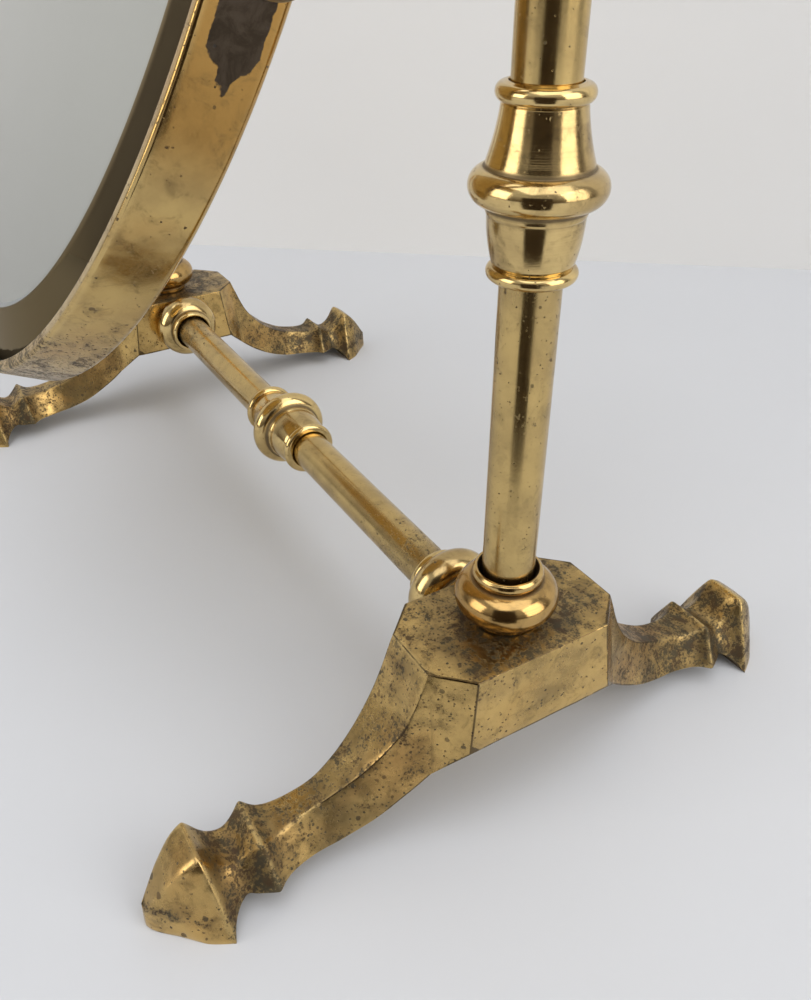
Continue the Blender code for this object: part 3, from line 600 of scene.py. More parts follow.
def foot_stretches():
    """Half a foot as smooth stretches of stations, from its middle to its toe.

    A station has the reach, half-width and height of the upper edge, then of the waist and
    of the lower edge.
    """
    top, floor, band = BLOCK_TOP, BLOCK_FLOOR, SOLE_BAND
    wide, end = BLOCK_HALF_WIDTH, BLOCK_END
    skirt = wide + BLOCK_FLARE
    corner = end - CORNER_CUT
    start = 0.0082
    mid_z = (top + floor) / 2
    mid_x = (wide + skirt) / 2
    centre_row = [0, wide, top, 0, mid_x, mid_z, 0, skirt, floor]
    corner_row = [corner, wide, top, corner + 0.0012, mid_x, mid_z, corner + 0.0025, skirt, floor]
    end_row = leg_station((end, end + 0.0006, end + 0.0016), (start, start + 0.0024, start + 0.0046),
                          (0.0, 0.387, 0.664))
    bead_row = [BEAD, 0.0076, 0.0180, BEAD - 0.0006, 0.0106, 0.0119, BEAD - 0.0012, 0.0137, 0.0059]
    crown_row = [CROWN, 0.0064, 0.0217, CROWN - 0.0020, 0.0135, band, CROWN - 0.0024, 0.0152, 0]
    leg = smooth_run([
        end_row,
        leg_station((end + 0.0063, end + 0.0068, end + 0.0073),
                    (start - 0.0003, start + 0.0016, start + 0.0034), (0.449, 0.631, 0.773)),
        leg_station((end + 0.0153, end + 0.0155, end + 0.0157),
                    (0.0059, 0.0083, 0.0104), (0.759, 0.838, 0.892)),
        leg_station([ANKLE - 0.0080] * 3, (0.0042, 0.0066, 0.0091), (0.929, 0.954, 0.970)),
        leg_station([ANKLE] * 3, (0.0039, 0.0063, 0.0087), (1.0, 1.0, 1.0)),
        [BEAD - 0.0040, 0.0053, 0.0160, BEAD - 0.0045, 0.0081, 0.0109, BEAD - 0.0048, 0.0106, 0.0062],
        bead_row,
    ])
    scotia = smooth_run([
        bead_row,
        [BEAD + 0.0028, 0.0062, 0.0153, BEAD + 0.0028, 0.0086, 0.0109, BEAD + 0.0036, 0.0112, 0.0059],
        [NECK, 0.0055, 0.0135, NECK, 0.0078, 0.0100, NECK, 0.0098, 0.0057],
        [CROWN - 0.0040, 0.0055, 0.0160, CROWN - 0.0046, 0.0098, 0.0085, CROWN - 0.0048, 0.0122, 0.0035],
        crown_row,
    ])
    toe = smooth_run([
        crown_row,
        [CROWN + 0.0036, 0.0058, 0.0195, CROWN + 0.0032, 0.0108, band, CROWN + 0.0030, 0.0122, 0],
        [CROWN + 0.0078, 0.0042, 0.0147, CROWN + 0.0076, 0.0070, band, CROWN + 0.0074, 0.0080, 0],
        [TOE_REACH - 0.0016, 0.0020, 0.0085, TOE_REACH - 0.0016, 0.0029, band,
         TOE_REACH - 0.0012, 0.0034, 0],
        [TOE_REACH, 0.0006, band + 0.0004, TOE_REACH, 0.0009, band, TOE_REACH + 0.0003, 0.0010, 0],
    ])
    block = [catmull([centre_row, corner_row], i / 6) for i in range(7)]
    chamfer = [catmull([corner_row, end_row], i / 4) for i in range(5)]
    return block, chamfer, leg, scotia, toe


def section(station, side):
    """A closed cross-section with rounded corners and finely divided sides."""
    upper, waist, lower = [Vector((station[i + 1], side * station[i], station[i + 2])) for i in (0, 3, 6)]
    bulge = (waist - (upper + lower) / 2) * 1.3

    def flank(t):
        point = upper.lerp(lower, t) + bulge * (4 * t * (1 - t))
        point.z = max(point.z, lower.z)
        return point

    span = (lower - upper).length
    near_top = min(0.10, CAST_EASING / max(span, 1e-6))
    top_in = upper - Vector((min(CAST_EASING, upper.x * 0.4), 0, 0))
    low_in = lower - Vector((min(CAST_EASING * 1.4, lower.x * 0.4), 0, 0))
    high, deep = flank(near_top), flank(1 - near_top)
    half = [top_in]
    half += [(1 - t) ** 2 * top_in + 2 * t * (1 - t) * upper + t * t * high for t in (0.33, 0.67)]
    half += [flank(near_top + (1 - 2 * near_top) * k / 9) for k in range(10)]
    half += [(1 - t) ** 2 * deep + 2 * t * (1 - t) * lower + t * t * low_in for t in (0.33, 0.67)]
    half += [low_in]
    other_half = [Vector((-p.x, p.y, p.z)) for p in reversed(half)]
    return half + level_row(low_in, 1) + other_half + level_row(top_in, -1)


def level_row(corner, side):
    """Points straight across a section, between a corner and its mirror image."""
    return [Vector((side * corner.x * (1 - k / 4), corner.y, corner.z)) for k in range(1, 8)]


def softened(rings, rounds=8):
    """Round the ridges of the toe and bead as years of polishing do; the sole stays flat."""
    grid = np.array([[tuple(p) for p in ring] for ring in rings])
    reach = np.abs(grid[:, :, 1])
    share = 0.05 + 0.95 * smoothstep(reach, ANKLE - 0.002, BEAD - 0.002)
    share *= smoothstep(grid[:, :, 2], 0.0004, 0.0030)
    share *= smoothstep(reach, BLOCK_END + 0.002, BLOCK_END + 0.010)
    for _ in range(rounds):
        around = (np.roll(grid, 1, axis=1) + np.roll(grid, -1, axis=1)) / 2
        along = grid.copy()
        along[1:-1] = (grid[:-2] + grid[2:]) / 2
        grid += 0.5 * share[:, :, None] * ((around + along) / 2 - grid)
    return grid


def crease_marks(shell, least_angle=math.radians(13)):
    """1 at the ends of the block's and legs' sharp edges, elsewhere 0."""
    values = np.zeros(len(shell.verts))
    for line in shell.edges:
        ends = [vert.co for vert in line.verts]
        on_leg = all(abs(end.y) < ANKLE - 0.004 and end.z > BLOCK_FLOOR * 0.45 for end in ends)
        at_end = all(BLOCK_END - 0.0003 < abs(end.y) < BLOCK_END + 0.0022 for end in ends)
        if at_end and min(end.z for end in ends) < BLOCK_TOP - 0.0012:
            continue
        if on_leg and line.calc_face_angle(0.0) > least_angle:
            for vert in line.verts:
                values[vert.index] = 1.0
    return values


def foot_stain_and_shade(points, normals):
    """Heaviest tarnish: round the column's ring, above the sole and in the scotias; the legs carry tarnish
    and, on their upward faces, painted shade; the back legs are darker.
    """
    reach = np.abs(points[:, 1])
    radial = np.hypot(points[:, 0], points[:, 1])
    up = smoothstep(normals[:, 2], 0.7, 0.95)
    top = up * (reach < BLOCK_END + 0.002) * (0.54 + 0.36 * (1 - smoothstep(radial, 0.0135, 0.027)))
    band = smoothstep(reach, CROWN - 0.002, CROWN + 0.002)
    band *= np.exp(-((points[:, 2] - SOLE_BAND - 0.0012) / 0.0015) ** 2)
    scotia = smoothstep(reach, BEAD - 0.005, BEAD) * (1 - smoothstep(reach, CROWN - 0.0035, CROWN - 0.0005))
    leg = smoothstep(reach, BLOCK_END - CORNER_CUT, BLOCK_END + 0.0040)
    leg *= 1 - smoothstep(reach, BEAD, CROWN)
    # painted shade: the legs' upward-facing faces are painted darker
    leg *= (1 - up * (reach < BLOCK_END + 0.002)) * (0.40 + 0.20 * smoothstep(normals[:, 2], 0.3, 0.7))
    back = smoothstep(points[:, 1], BLOCK_END, ANKLE)
    wander = np.array([noise.noise(Vector(p) * 160) for p in points])
    return np.clip(top + 1.0 * band + 0.85 * scotia + leg + 0.50 * back + 0.16 * wander, 0, 1)


def foot_casting(name):
    """The foot's closed skin, with its normals outwards, and where its creases are."""
    stretches = foot_stretches()
    half = [row for k, stretch in enumerate(stretches) for row in (stretch if k == 0 else stretch[1:])]
    rings = [section(row, -1) for row in reversed(half[1:])] + [section(row, 1) for row in half]
    count = len(rings[0])
    verts = [tuple(p) for ring in softened(rings) for p in ring]
    rows = [range(first, first + count) for first in range(0, len(verts), count)]
    faces = skin(rows) + [tuple(rows[0]), tuple(reversed(rows[-1]))]
    thing = new_piece(name, verts, faces, CAST)
    shell = bmesh.new()
    shell.from_mesh(thing.data)
    bmesh.ops.recalc_face_normals(shell, faces=shell.faces)
    creases = crease_marks(shell)
    shell.to_mesh(thing.data)
    shell.free()
    return thing, creases


def roughen(mesh, start):
    """Move the faces in and out a little, as sand leaves them; the sole stays flat."""
    points = vertex_rows(mesh, "co")
    lift = np.array([noise.noise(Vector(p) * 130 + start) for p in points])
    lift *= CAST_WAVES * smoothstep(points[:, 2], 0.0005, 0.003)
    points = points + vertex_rows(mesh, "normal") * lift[:, None]
    mesh.vertices.foreach_set("co", points.astype(np.float32).ravel())
    mesh.update()


def make_foot(side_name, side):
    thing, creases = foot_casting("foot_casting_" + side_name)
    thing.location = (side * COLUMN_X, 0, 0)
    mesh = thing.data
    roughen(mesh, Vector((side * WAVES_APART, 0, 0)))
    set_attribute(mesh, "hollow", mesh_hollows(mesh))
    set_attribute(mesh, "stain_and_shade", foot_stain_and_shade(vertex_rows(mesh, "co"), vertex_rows(mesh, "normal")))
    set_attribute(mesh, "crease", creases)
    smooth_faces(thing, 30)
    settle(thing, "foot_" + side_name, "stand")


for side_name, side in SIDES:
    make_foot(side_name, side)


# ---------------- columns and stretcher
RING_HEIGHT = 2 * half_size("column_ring_right").z
KNOP_LENGTH = 2 * half_size("column_knop_right").z
SOCKET_DEPTH = 0.0060
TUBE_WALL = 0.00135
COLUMN_TARNISH = 0.010        # how far tarnish creeps along a tube from its fitting
STRETCHER_TARNISH = 0.040


def ring_outline():
    """Bulbous ring with a smaller step above it; its socket takes a tube."""
    top = RING_HEIGHT
    edge = SOCKET + 0.00135
    step = [(edge - 0.0006, top), (edge, top)] + arc((edge, top - 0.0015), (0.0007, 0.0013), 75, -75, 10)
    neck = [(edge - 0.0002, top - 0.0031)]
    bulb = arc((SOCKET + 0.00075, 0.0070), (0.0054, 0.0052), 80, -80, 36)
    foot = [(SOCKET + 0.0018, 0.0012), (SOCKET + 0.00175, 0.0)]
    floor = RING_HEIGHT - 2 * SOCKET_DEPTH
    inner = [(ROD_BORE, 0.0), (ROD_BORE, floor), (SOCKET, floor), (SOCKET, top - 0.0022)]
    return step + neck + bulb + foot + inner


def knop_outline():
    """Turned knop: bead, cone, bulge, cup and bead, with a socket at each end."""
    top = KNOP_LENGTH
    belly = SOCKET + 0.0035
    upper_bead = arc((SOCKET + 0.00095, top - 0.0020), (0.0014, 0.0016), 90, -90, 16)
    cone = bow((SOCKET + 0.0012, top - 0.0040), (belly - 0.0001, 0.0223), -0.00025)
    bulge = arc((belly - 0.00035, 0.0179), (0.00345, 0.0034), 82, -82, 26)
    fillet = [(belly - 0.0003, 0.0140), (belly - 0.00045, 0.0130)]
    cup = bow((belly - 0.0007, 0.0126), (SOCKET + 0.00155, 0.0036), 0.0003)
    lower_bead = arc((SOCKET + 0.00105, 0.0015), (0.0014, 0.0014), 88, -90, 16)
    inner = [(SOCKET, 0.0), (SOCKET, SOCKET_DEPTH), (ROD_BORE, SOCKET_DEPTH),
             (ROD_BORE, top - SOCKET_DEPTH), (SOCKET, top - SOCKET_DEPTH), (SOCKET, top)]
    return upper_bead + cone + bulge + fillet + cup + lower_bead + inner


def finial_outline():
    """Ball finial on a waisted foot, with a button on top and a socket for the tube."""
    s = SOCKET
    button = [(0.0, 0.0385)] + arc((0.0, 0.0350), (0.0032, 0.0035), 80, -20, 12) + [(0.0024, 0.0320)]
    neck = bow((0.0024, 0.0318), (0.0036, 0.0292), -0.0003, 6)
    ball = arc((0.0, 0.0190), (0.0105, 0.0105), 68, -58, 44)
    waist = bow((0.0056, 0.0098), (s + 0.00175, 0.0058), -0.0009, 8)
    bead = arc((s + 0.00155, 0.0030), (0.0014, 0.0018), 84, -84, 16)
    inner = [(s + 0.0016, 0.0), (s, 0.0), (s, 0.0050),
             (ROD_BORE, 0.0050), (ROD_BORE, 0.0160), (0.0, 0.0160)]
    return button + neck + ball + waist + bead + inner


def pipe_outline(outer, inner, length):
    return [(outer, length), (outer, 0), (inner, 0), (inner, length)]


def tube_outline(length):
    return pipe_outline(TUBE_RADIUS, TUBE_RADIUS - TUBE_WALL, length)


def tube_marks(end, reach):
    """Tarnish that thickens towards the place where a tube enters its fitting."""
    def marks(points):
        away = np.linalg.norm(points - np.array(end), axis=1)
        black = 1 - smoothstep(away, TUBE_RADIUS * 1.02, TUBE_RADIUS * 1.16)
        return {"stain_and_shade": 0.60 * (1 - smoothstep(away, reach * 0.3, reach)), "patina_and_shade": 0.9 * black}
    return marks


def socket_marks(mouth):
    """The inside of a socket's mouth is black with old polish."""
    def marks(points):
        radial = np.hypot(points[:, 0] - mouth[0], points[:, 1] - mouth[1])
        near = (radial < SOCKET + 0.0009) * (np.abs(points[:, 2] - mouth[2]) < 0.0045)
        return {"patina_and_shade": 0.92 * near, "amber": np.full(len(points), 0.60)}
    return marks


def stand_piece(kind, node, outline, at, axis=UP, marks=None, steps=TURN_STEPS):
    """A piece of the stand; kind is turned or drawn."""
    material = TURNED if kind == "turned" else TUBE
    piece = turned("%s_%s" % (kind, node), outline, material, at, axis, steps, marks=marks)
    settle(piece, node, "stand")


def make_column(side_name, x):
    """A column's ring, tubes, knop and finial."""
    for stem, outline in (("column_ring_", ring_outline()), ("column_knop_", knop_outline()),
                          ("finial_", finial_outline())):
        base, top = heights(stem + side_name)
        marks = socket_marks((x, 0, top)) if stem == "column_ring_" else None
        stand_piece("turned", stem + side_name, outline, (x, 0, base), marks=marks)
    for stem in ("column_tube_lower_", "column_tube_upper_"):
        base, top = heights(stem + side_name)
        end = base + SOCKET_DEPTH if stem == "column_tube_lower_" else top - SOCKET_DEPTH
        stand_piece("drawn", stem + side_name, tube_outline(top - base), (x, 0, base),
                    marks=tube_marks((x, 0, end), COLUMN_TARNISH))


def make_stretcher_half(side_name, side):
    """The stretcher's ring at a foot and its tube from there to the knop."""
    outward = Vector((side, 0, 0))
    ring, tube = "stretcher_ring_" + side_name, "stretcher_tube_" + side_name
    stand_piece("turned", ring, ring_outline(), (side * reach_x(ring)[1], 0, STRETCHER_Z), -outward)
    near, far = reach_x(tube)
    entry = (side * (far - SOCKET_DEPTH), 0, STRETCHER_Z)
    stand_piece("drawn", tube, tube_outline(far - near), (side * near, 0, STRETCHER_Z), outward,
                marks=tube_marks(entry, STRETCHER_TARNISH))


for side_name, side in SIDES:
    make_column(side_name, side * COLUMN_X)
    make_stretcher_half(side_name, side)
stand_piece("turned", "stretcher_knop", knop_outline(), (KNOP_LENGTH / 2, 0, STRETCHER_Z), (-1, 0, 0))


# ---------------- mirror
tilt = next(joint for joint in frame["record"]["behaviour"]["joints"] if joint["name"] == "mirror_tilt")
PIVOT = Vector(tilt["pos_m"])
MIRROR_TILT = math.radians(24.7)
FACING = Vector((0, -math.cos(MIRROR_TILT), math.sin(MIRROR_TILT)))
MIRROR_RADIUS = half_size("mirror_hoop").x
HOOP_FRONT, HOOP_BACK, HOOP_ROLL = 0.0084, 0.0069, 0.0020
HOOP_ARRIS = 0.0009
LIP_INNER = MIRROR_RADIUS - 0.0030
GLASS_RADIUS = LIP_INNER - GAP
GLASS_FACE = HOOP_FRONT - 0.0010
GLASS_BACK = GLASS_FACE - 0.0050
BEVEL_DROP = 0.0030
BOARD_BACK = GLASS_BACK - GAP - 0.0060
PLATE_BACK = BOARD_BACK - GAP - 0.0010
HOOK_INNER = LIP_INNER - 0.0030
GLASS_FLAT = LIP_INNER - 0.0130


def hoop_outline():
    """Flat band with both edges rolled over, the back one inwards to hold the plate."""
    rolled = (HOOP_ROLL, HOOP_ROLL)
    front = arc((MIRROR_RADIUS - HOOP_ARRIS, HOOP_FRONT - HOOP_ARRIS), (HOOP_ARRIS, HOOP_ARRIS), 90, 0, 12)
    back = arc((MIRROR_RADIUS - HOOP_ROLL, HOOP_ROLL - HOOP_BACK), rolled, 0, -90, 12)
    hook = [(HOOK_INNER, -HOOP_BACK), (HOOK_INNER, PLATE_BACK - GAP), (LIP_INNER, PLATE_BACK - GAP)]
    lip = [(LIP_INNER, HOOP_FRONT - HOOP_ROLL / 2), (LIP_INNER + 0.0004, HOOP_FRONT)]
    return front + back + hook + lip


def mirror_measures(points):
    """How far points lie aside of the centre, in front of it, up the mirror and out from its axis."""
    away = points - np.array(PIVOT)
    forward = away @ np.array(FACING)
    climb = away @ np.array((0, math.sin(MIRROR_TILT), math.cos(MIRROR_TILT)))
    radial = np.linalg.norm(away - forward[:, None] * np.array(FACING), axis=1)
    return np.abs(away[:, 0]), forward, climb, radial


def hoop_marks(points):
    """Pitted and grey along the lowest part, black round the pivots and orange next to them; the lip's
    inner wall is painted black as painted shade of the gap over the glass.
    """
    aside, forward, climb, radial = mirror_measures(points)
    from_pivot = np.hypot(aside - MIRROR_RADIUS, climb)
    across = (forward + HOOP_BACK) / (HOOP_FRONT + HOOP_BACK)
    scallop = 0.0058 * np.abs(np.sin(across * math.pi * 1.5 + 0.95))
    wander = np.array([noise.noise(Vector(p) * 420) for p in points]) * 0.0009
    black = 1 - smoothstep(from_pivot + wander, 0.0225 - scallop, 0.0275 - scallop)
    black *= smoothstep(forward, -HOOP_BACK + 0.0016, -HOOP_BACK + 0.0040)
    black *= 1 - smoothstep(forward, HOOP_FRONT - 0.0038, HOOP_FRONT - 0.0020)
    orange = (1 - smoothstep(from_pivot, 0.030, 0.046)) * 0.85
    # painted shade: the lip's inner wall is painted black, for the dark gap over the glass
    inner_wall = 1 - smoothstep(radial, LIP_INNER + 0.0002, LIP_INNER + 0.0007)
    lip = smoothstep(forward, HOOP_FRONT - 0.0006, HOOP_FRONT - 0.0001) * 0.22
    low = smoothstep(-climb / MIRROR_RADIUS, 0.60, 0.90)
    patina_and_shade = np.maximum(0.93 * black, 0.9 * inner_wall)
    return {"stain_and_shade": np.clip(0.85 * low + lip, 0, 1), "patina_and_shade": patina_and_shade, "amber": orange}


def rim_marks(points):
    """A black band of painted shade round the glass's rim, widest at the bottom, for the gap under the
    hoop's lip; the glass is also painted darker towards the bottom as a painted darker reflection.
    """
    _, _, climb, radial = mirror_measures(points)
    fall = -climb / MIRROR_RADIUS
    width = 0.0032 * smoothstep(fall, 0.25, 0.75) - 0.0004
    rim_shade = smoothstep(radial, GLASS_RADIUS - width - 0.0006, GLASS_RADIUS - width + 0.0006)
    return {"patina_and_shade": rim_shade, "stain_and_shade": smoothstep(fall, 0.10, 0.85)}


def bevel_faces(piece):
    """The ground bevel gets its own finish, painted brown as a painted reflection, apart from the flat of
    the glass.
    """
    piece.data.materials.append(PAINTED_BEVEL_REFLECTION)
    inner = GLASS_FLAT + 0.0001
    for face in piece.data.polygons:
        radius = math.hypot(face.center.x, face.center.y)
        if radius > inner and face.center.z > GLASS_FACE - BEVEL_DROP - 0.0001 and face.normal.z > 0.5:
            face.material_index = 1


def on_mirror(name, outline, material, node, marks=None, fillet=FILLET):
    piece = turned(name, outline, material, PIVOT, FACING, HOOP_STEPS, fillet, marks)
    return settle(piece, node, "mirror")


on_mirror("rolled_hoop", hoop_outline(), HOOP, "mirror_hoop", hoop_marks, 0.0003)
glass = on_mirror("bevelled_glass", [
    (0, GLASS_FACE), (GLASS_FLAT, GLASS_FACE),
    (GLASS_RADIUS, GLASS_FACE - BEVEL_DROP), (GLASS_RADIUS, GLASS_BACK), (0, GLASS_BACK),
], GLASS, "mirror_glass", rim_marks, 0.00012)
bevel_faces(glass)
on_mirror("pressed_back_plate", [
    (0, BOARD_BACK - GAP), (GLASS_RADIUS, BOARD_BACK - GAP), (GLASS_RADIUS, PLATE_BACK),
    (0.094, PLATE_BACK), (0.0925, PLATE_BACK + 0.0004), (0.091, PLATE_BACK), (0, PLATE_BACK),
], HOOP, "back_plate")


# ---------------- pivots
PIN_BORE = 0.0028
EYE_RADIUS = half_size("friction_washer_right").z


def boss_outline(length):
    flange = half_size("pivot_boss_right").z
    return [(0.0, length - 0.0030), (PIN_BORE, length - 0.0030), (PIN_BORE, length), (EYE_RADIUS, length),
            (EYE_RADIUS + 0.0004, length - 0.0016), (flange - 0.0008, length - 0.0024),
            (flange, length - 0.0032), (flange, 0.0), (0.0, 0.0)]


def thumbscrew_outline(length):
    rim = half_size("pivot_thumbscrew_right").z
    pin = length - 0.0090
    neck = rim - 0.0013
    head = arc((rim - 0.0022, length - 0.0032), (0.0022, 0.0032), 90, 0, 12)
    shank = [(neck, pin + 0.0010), (neck, pin), (PIN_BORE - GAP, pin), (PIN_BORE - GAP, 0), (0, 0)]
    return [(0, length)] + head + [(rim, length - 0.0060), (rim - 0.0009, length - 0.0068)] + shank


def on_pivot(name, node, outline, material, side, body):
    """A turned piece on the mirror's axis, from its node's inner end outwards."""
    near, far = reach_x(node)
    piece = turned(name, outline(far - near), material, (side * near, PIVOT.y, PIVOT.z), (side, 0, 0))
    settle(piece, node, body)


for side_name, side in SIDES:
    on_pivot("pivot_flange_" + side_name, "pivot_boss_" + side_name, boss_outline, DARK,
             side, "mirror")
    on_pivot("thumbscrew_" + side_name, "pivot_thumbscrew_" + side_name, thumbscrew_outline, TURNED,
             side, "thumbscrew_" + side_name)


# ---------------- brackets and rails
COLLAR_HEIGHT = 0.0160
COLLAR_RADIUS = SOCKET + 0.00385
COLLAR_BEAD = 0.0026
COLLAR_WAIST = 0.0014
EYE_LENGTH = 0.0075
ARM_RADIUS = 0.0038
RAIL_RADIUS = half_size("rail_1").z
RAIL_BORE = RAIL_RADIUS + GAP
CUP_RADIUS = RAIL_BORE + 0.0023
CUP_MOUTH = COLLAR_RADIUS + 0.0045     # from the column's axis
RAIL_SOCKET = 0.0030
REST_COLLAR = RAIL_BORE + 0.0025
REST_COLLAR_LENGTH = 0.0110
REST_REACH = 0.0260
REST_RISE = 0.0120
SPOOL_RADIUS = 0.0048
SPOOL_LENGTH = 0.0140
STEM_RADIUS = 0.0022


def boolean(thing, other, operation):
    """Add another shape to a piece or take it away, and drop the other shape."""
    modifier = thing.modifiers.new("shape", "BOOLEAN")
    modifier.operation = operation
    modifier.solver = "EXACT"
    modifier.object = other
    bpy.context.view_layer.update()
    evaluated = thing.evaluated_get(bpy.context.evaluated_depsgraph_get())
    mesh = bpy.data.meshes.new_from_object(evaluated)
    thing.modifiers.clear()
    thing.data = mesh
    bpy.data.objects.remove(other)


def shaped(thing, added, taken, node):
    """Join and cut a piece, then give it its wear, hide its CAD node and attach it."""
    for other in added:
        boolean(thing, other, "UNION")
    for other in taken:
        boolean(thing, other, "DIFFERENCE")
    set_attribute(thing.data, "hollow", mesh_hollows(thing.data, 0.0020))
    smooth_faces(thing, 32)
    return settle(thing, node, "stand")


def swept(name, points, radius, material, sides=32, divisions=10):
    """A round bar along a smooth curve, with flat ends."""
    path = [Vector(p) for p in smooth_run([list(p) for p in points], divisions)]
    verts, faces = [], []
    across = Vector((1, 0, 0))
    for i, place in enumerate(path):
        ahead = (path[min(i + 1, len(path) - 1)] - path[max(i - 1, 0)]).normalized()
        side_way = (across - ahead * across.dot(ahead)).normalized()
        up_way = ahead.cross(side_way)
        for k in range(sides):
            angle = 2 * math.pi * k / sides
            verts.append(tuple(place + (side_way * math.cos(angle) + up_way * math.sin(angle)) * radius))
    for i in range(len(path) - 1):
        for k in range(sides):
            j = (k + 1) % sides
            faces.append((i * sides + k, i * sides + j, (i + 1) * sides + j, (i + 1) * sides + k))
    faces.append(tuple(reversed(range(sides))))
    faces.append(tuple((len(path) - 1) * sides + k for k in range(sides)))
    return new_piece(name, verts, faces, material)


def collar_outline():
    """Sleeve round a column's tube, with a rounded bead at each end."""
    bead = COLLAR_BEAD / 2
    upper = arc((COLLAR_RADIUS - bead, COLLAR_HEIGHT - bead), (bead, bead), 90, -70, 12)
    lower = arc((COLLAR_RADIUS - bead, bead), (bead, bead), 70, -90, 12)
    waist = bow((COLLAR_RADIUS - COLLAR_WAIST, COLLAR_HEIGHT - COLLAR_BEAD - 0.0006),
                (COLLAR_RADIUS - COLLAR_WAIST, COLLAR_BEAD + 0.0006), 0.0001)
    return upper + waist + lower + [(SOCKET, 0.0), (SOCKET, COLLAR_HEIGHT)]


def bar_outline(radius, length):
    return [(0, length), (radius, length), (radius, 0), (0, 0)]


def rod(radius, length, at, axis):
    """A round bar that is joined to a piece or cut out of it."""
    return turned("rod", bar_outline(radius, length), CAST, at, axis, ROD_STEPS)


def spool_outline():
    """Waisted spool that a spectacle bridge sits on."""
    rim = 0.0011
    left = arc((SPOOL_RADIUS - 0.0003, SPOOL_LENGTH - rim), (rim, rim), 90, -60, 10)
    right = arc((SPOOL_RADIUS - 0.0003, rim), (rim, rim), 60, -90, 10)
    waist = bow((SPOOL_RADIUS - 0.0001, SPOOL_LENGTH - 0.0026), (SPOOL_RADIUS - 0.0001, 0.0026), -0.0014)
    return [(0, SPOOL_LENGTH)] + left + waist + right + [(0, 0)]


def make_bracket(side_name, side):
    """A collar with an arm that reaches forwards to the pivot's eye."""
    node = "mirror_bracket_" + side_name
    x = side * COLUMN_X
    rise = heights(node)[1] - COLLAR_HEIGHT / 2
    eye_start = reach_x("friction_washer_" + side_name)[1] + GAP
    eye_x = side * (eye_start + EYE_LENGTH / 2)
    outward = Vector((side, 0, 0))
    collar = turned("cast_" + node, collar_outline(), CAST, (x, 0, rise - COLLAR_HEIGHT / 2))
    arm = swept("arm", [
        (x, -(SOCKET + COLLAR_RADIUS) / 2, rise),
        (x, PIVOT.y * 0.45, rise),
        (eye_x + side * 0.0008, PIVOT.y * 0.82, PIVOT.z + (rise - PIVOT.z) * 0.4),
        (eye_x, PIVOT.y + 0.0010, PIVOT.z),
    ], ARM_RADIUS, CAST)
    eye = rod(EYE_RADIUS, EYE_LENGTH, (side * eye_start, PIVOT.y, PIVOT.z), outward)
    hole = rod(PIN_BORE, 3 * EYE_LENGTH, (side * (eye_start - EYE_LENGTH), PIVOT.y, PIVOT.z), outward)
    return shaped(collar, [arm, eye], [hole], node)


def make_rail_collar(rail, side_name, side, height):
    """A collar on a column, with a cup facing inwards for the rail's end."""
    node = "%s_collar_%s" % (rail, side_name)
    x = side * COLUMN_X
    inward = Vector((-side, 0, 0))
    root = (SOCKET + COLLAR_RADIUS) / 2
    collar = turned("cast_" + node, collar_outline(), CAST, (x, 0, height - COLLAR_HEIGHT / 2))
    cup = rod(CUP_RADIUS, CUP_MOUTH - root, (x - side * root, 0, height), inward)
    hole = rod(RAIL_BORE, RAIL_SOCKET * 3, (x - side * (CUP_MOUTH - RAIL_SOCKET), 0, height), inward)
    return shaped(collar, [cup], [hole], node)


def make_nose_rest(rail, side_name, height):
    """A collar on a rail, with a curved stem that carries a spool in front of it."""
    node = "%s_nose_rest_%s" % (rail, side_name)
    x = middle(node).x
    sleeve = pipe_outline(REST_COLLAR, RAIL_BORE, REST_COLLAR_LENGTH)
    along = Vector((1, 0, 0))
    rest = turned("turned_" + node, sleeve, TURNED, (x - REST_COLLAR_LENGTH / 2, 0, height), along,
                  RAIL_STEPS, 2 * FILLET)
    stem = swept("stem", [
        (x, -(RAIL_BORE + REST_COLLAR) / 2, height),
        (x, -REST_REACH * 0.65, height + REST_RISE * 0.15),
        (x, -REST_REACH, height + REST_RISE - 0.0010),
    ], STEM_RADIUS, TURNED)
    spool = turned("spool", spool_outline(), TURNED,
                   (x - SPOOL_LENGTH / 2, -REST_REACH, height + REST_RISE), along, ROD_STEPS)
    return shaped(rest, [stem, spool], [], node)


for side_name, side in SIDES:
    make_bracket(side_name, side)
for rail in ("rail_1", "rail_2"):
    low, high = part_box(rail)
    height = (low.z + high.z) / 2
    stand_piece("drawn", rail, bar_outline(RAIL_RADIUS, high.x - low.x), (low.x, 0, height), (1, 0, 0),
                steps=RAIL_STEPS)
    for side_name, side in SIDES:
        make_rail_collar(rail, side_name, side, height)
        make_nose_rest(rail, side_name, height)


# ---------------- pieces that keep their CAD shape
KEPT = {
    STEEL: ["tie_rod_", "foot_nut_", "foot_washer_", "stretcher_stud_"],
    LEATHER: ["friction_washer_"],
    WOOD: ["backing_board"],
}
for material, stems in KEPT.items():
    for node, thing in frame["nodes"].items():
        if any(node.startswith(stem) for stem in stems):
            thing.data.materials.clear()
            thing.data.materials.append(material)


# ---------------- stage, light and camera
def plain_stage(name, colour, shade):
    """A stage surface with the faintest mottle, seen only from its front."""
    s = Shading(name)
    mottle = s.noise(5.0, 3.0, 0.5)
    base = s.mix_colour(mottle, colour, shade)
    material = s.finish(Base_Color=base, Roughness=0.75)
    back = s.node("ShaderNodeNewGeometry").outputs["Backfacing"]
    clear = s.node("ShaderNodeBsdfTransparent")
    blend = s.node("ShaderNodeMixShader", Fac=back)
    s.tree.links.new(s.surface.outputs["BSDF"], blend.inputs[1])
    s.tree.links.new(clear.outputs["BSDF"], blend.inputs[2])
    s.tree.links.new(blend.outputs["Shader"], s.tree.nodes["Material Output"].inputs["Surface"])
    return material


def stage_plane(name, corners, material):
    plane = new_piece(name, corners, [(0, 1, 2, 3)], material)
    return plane


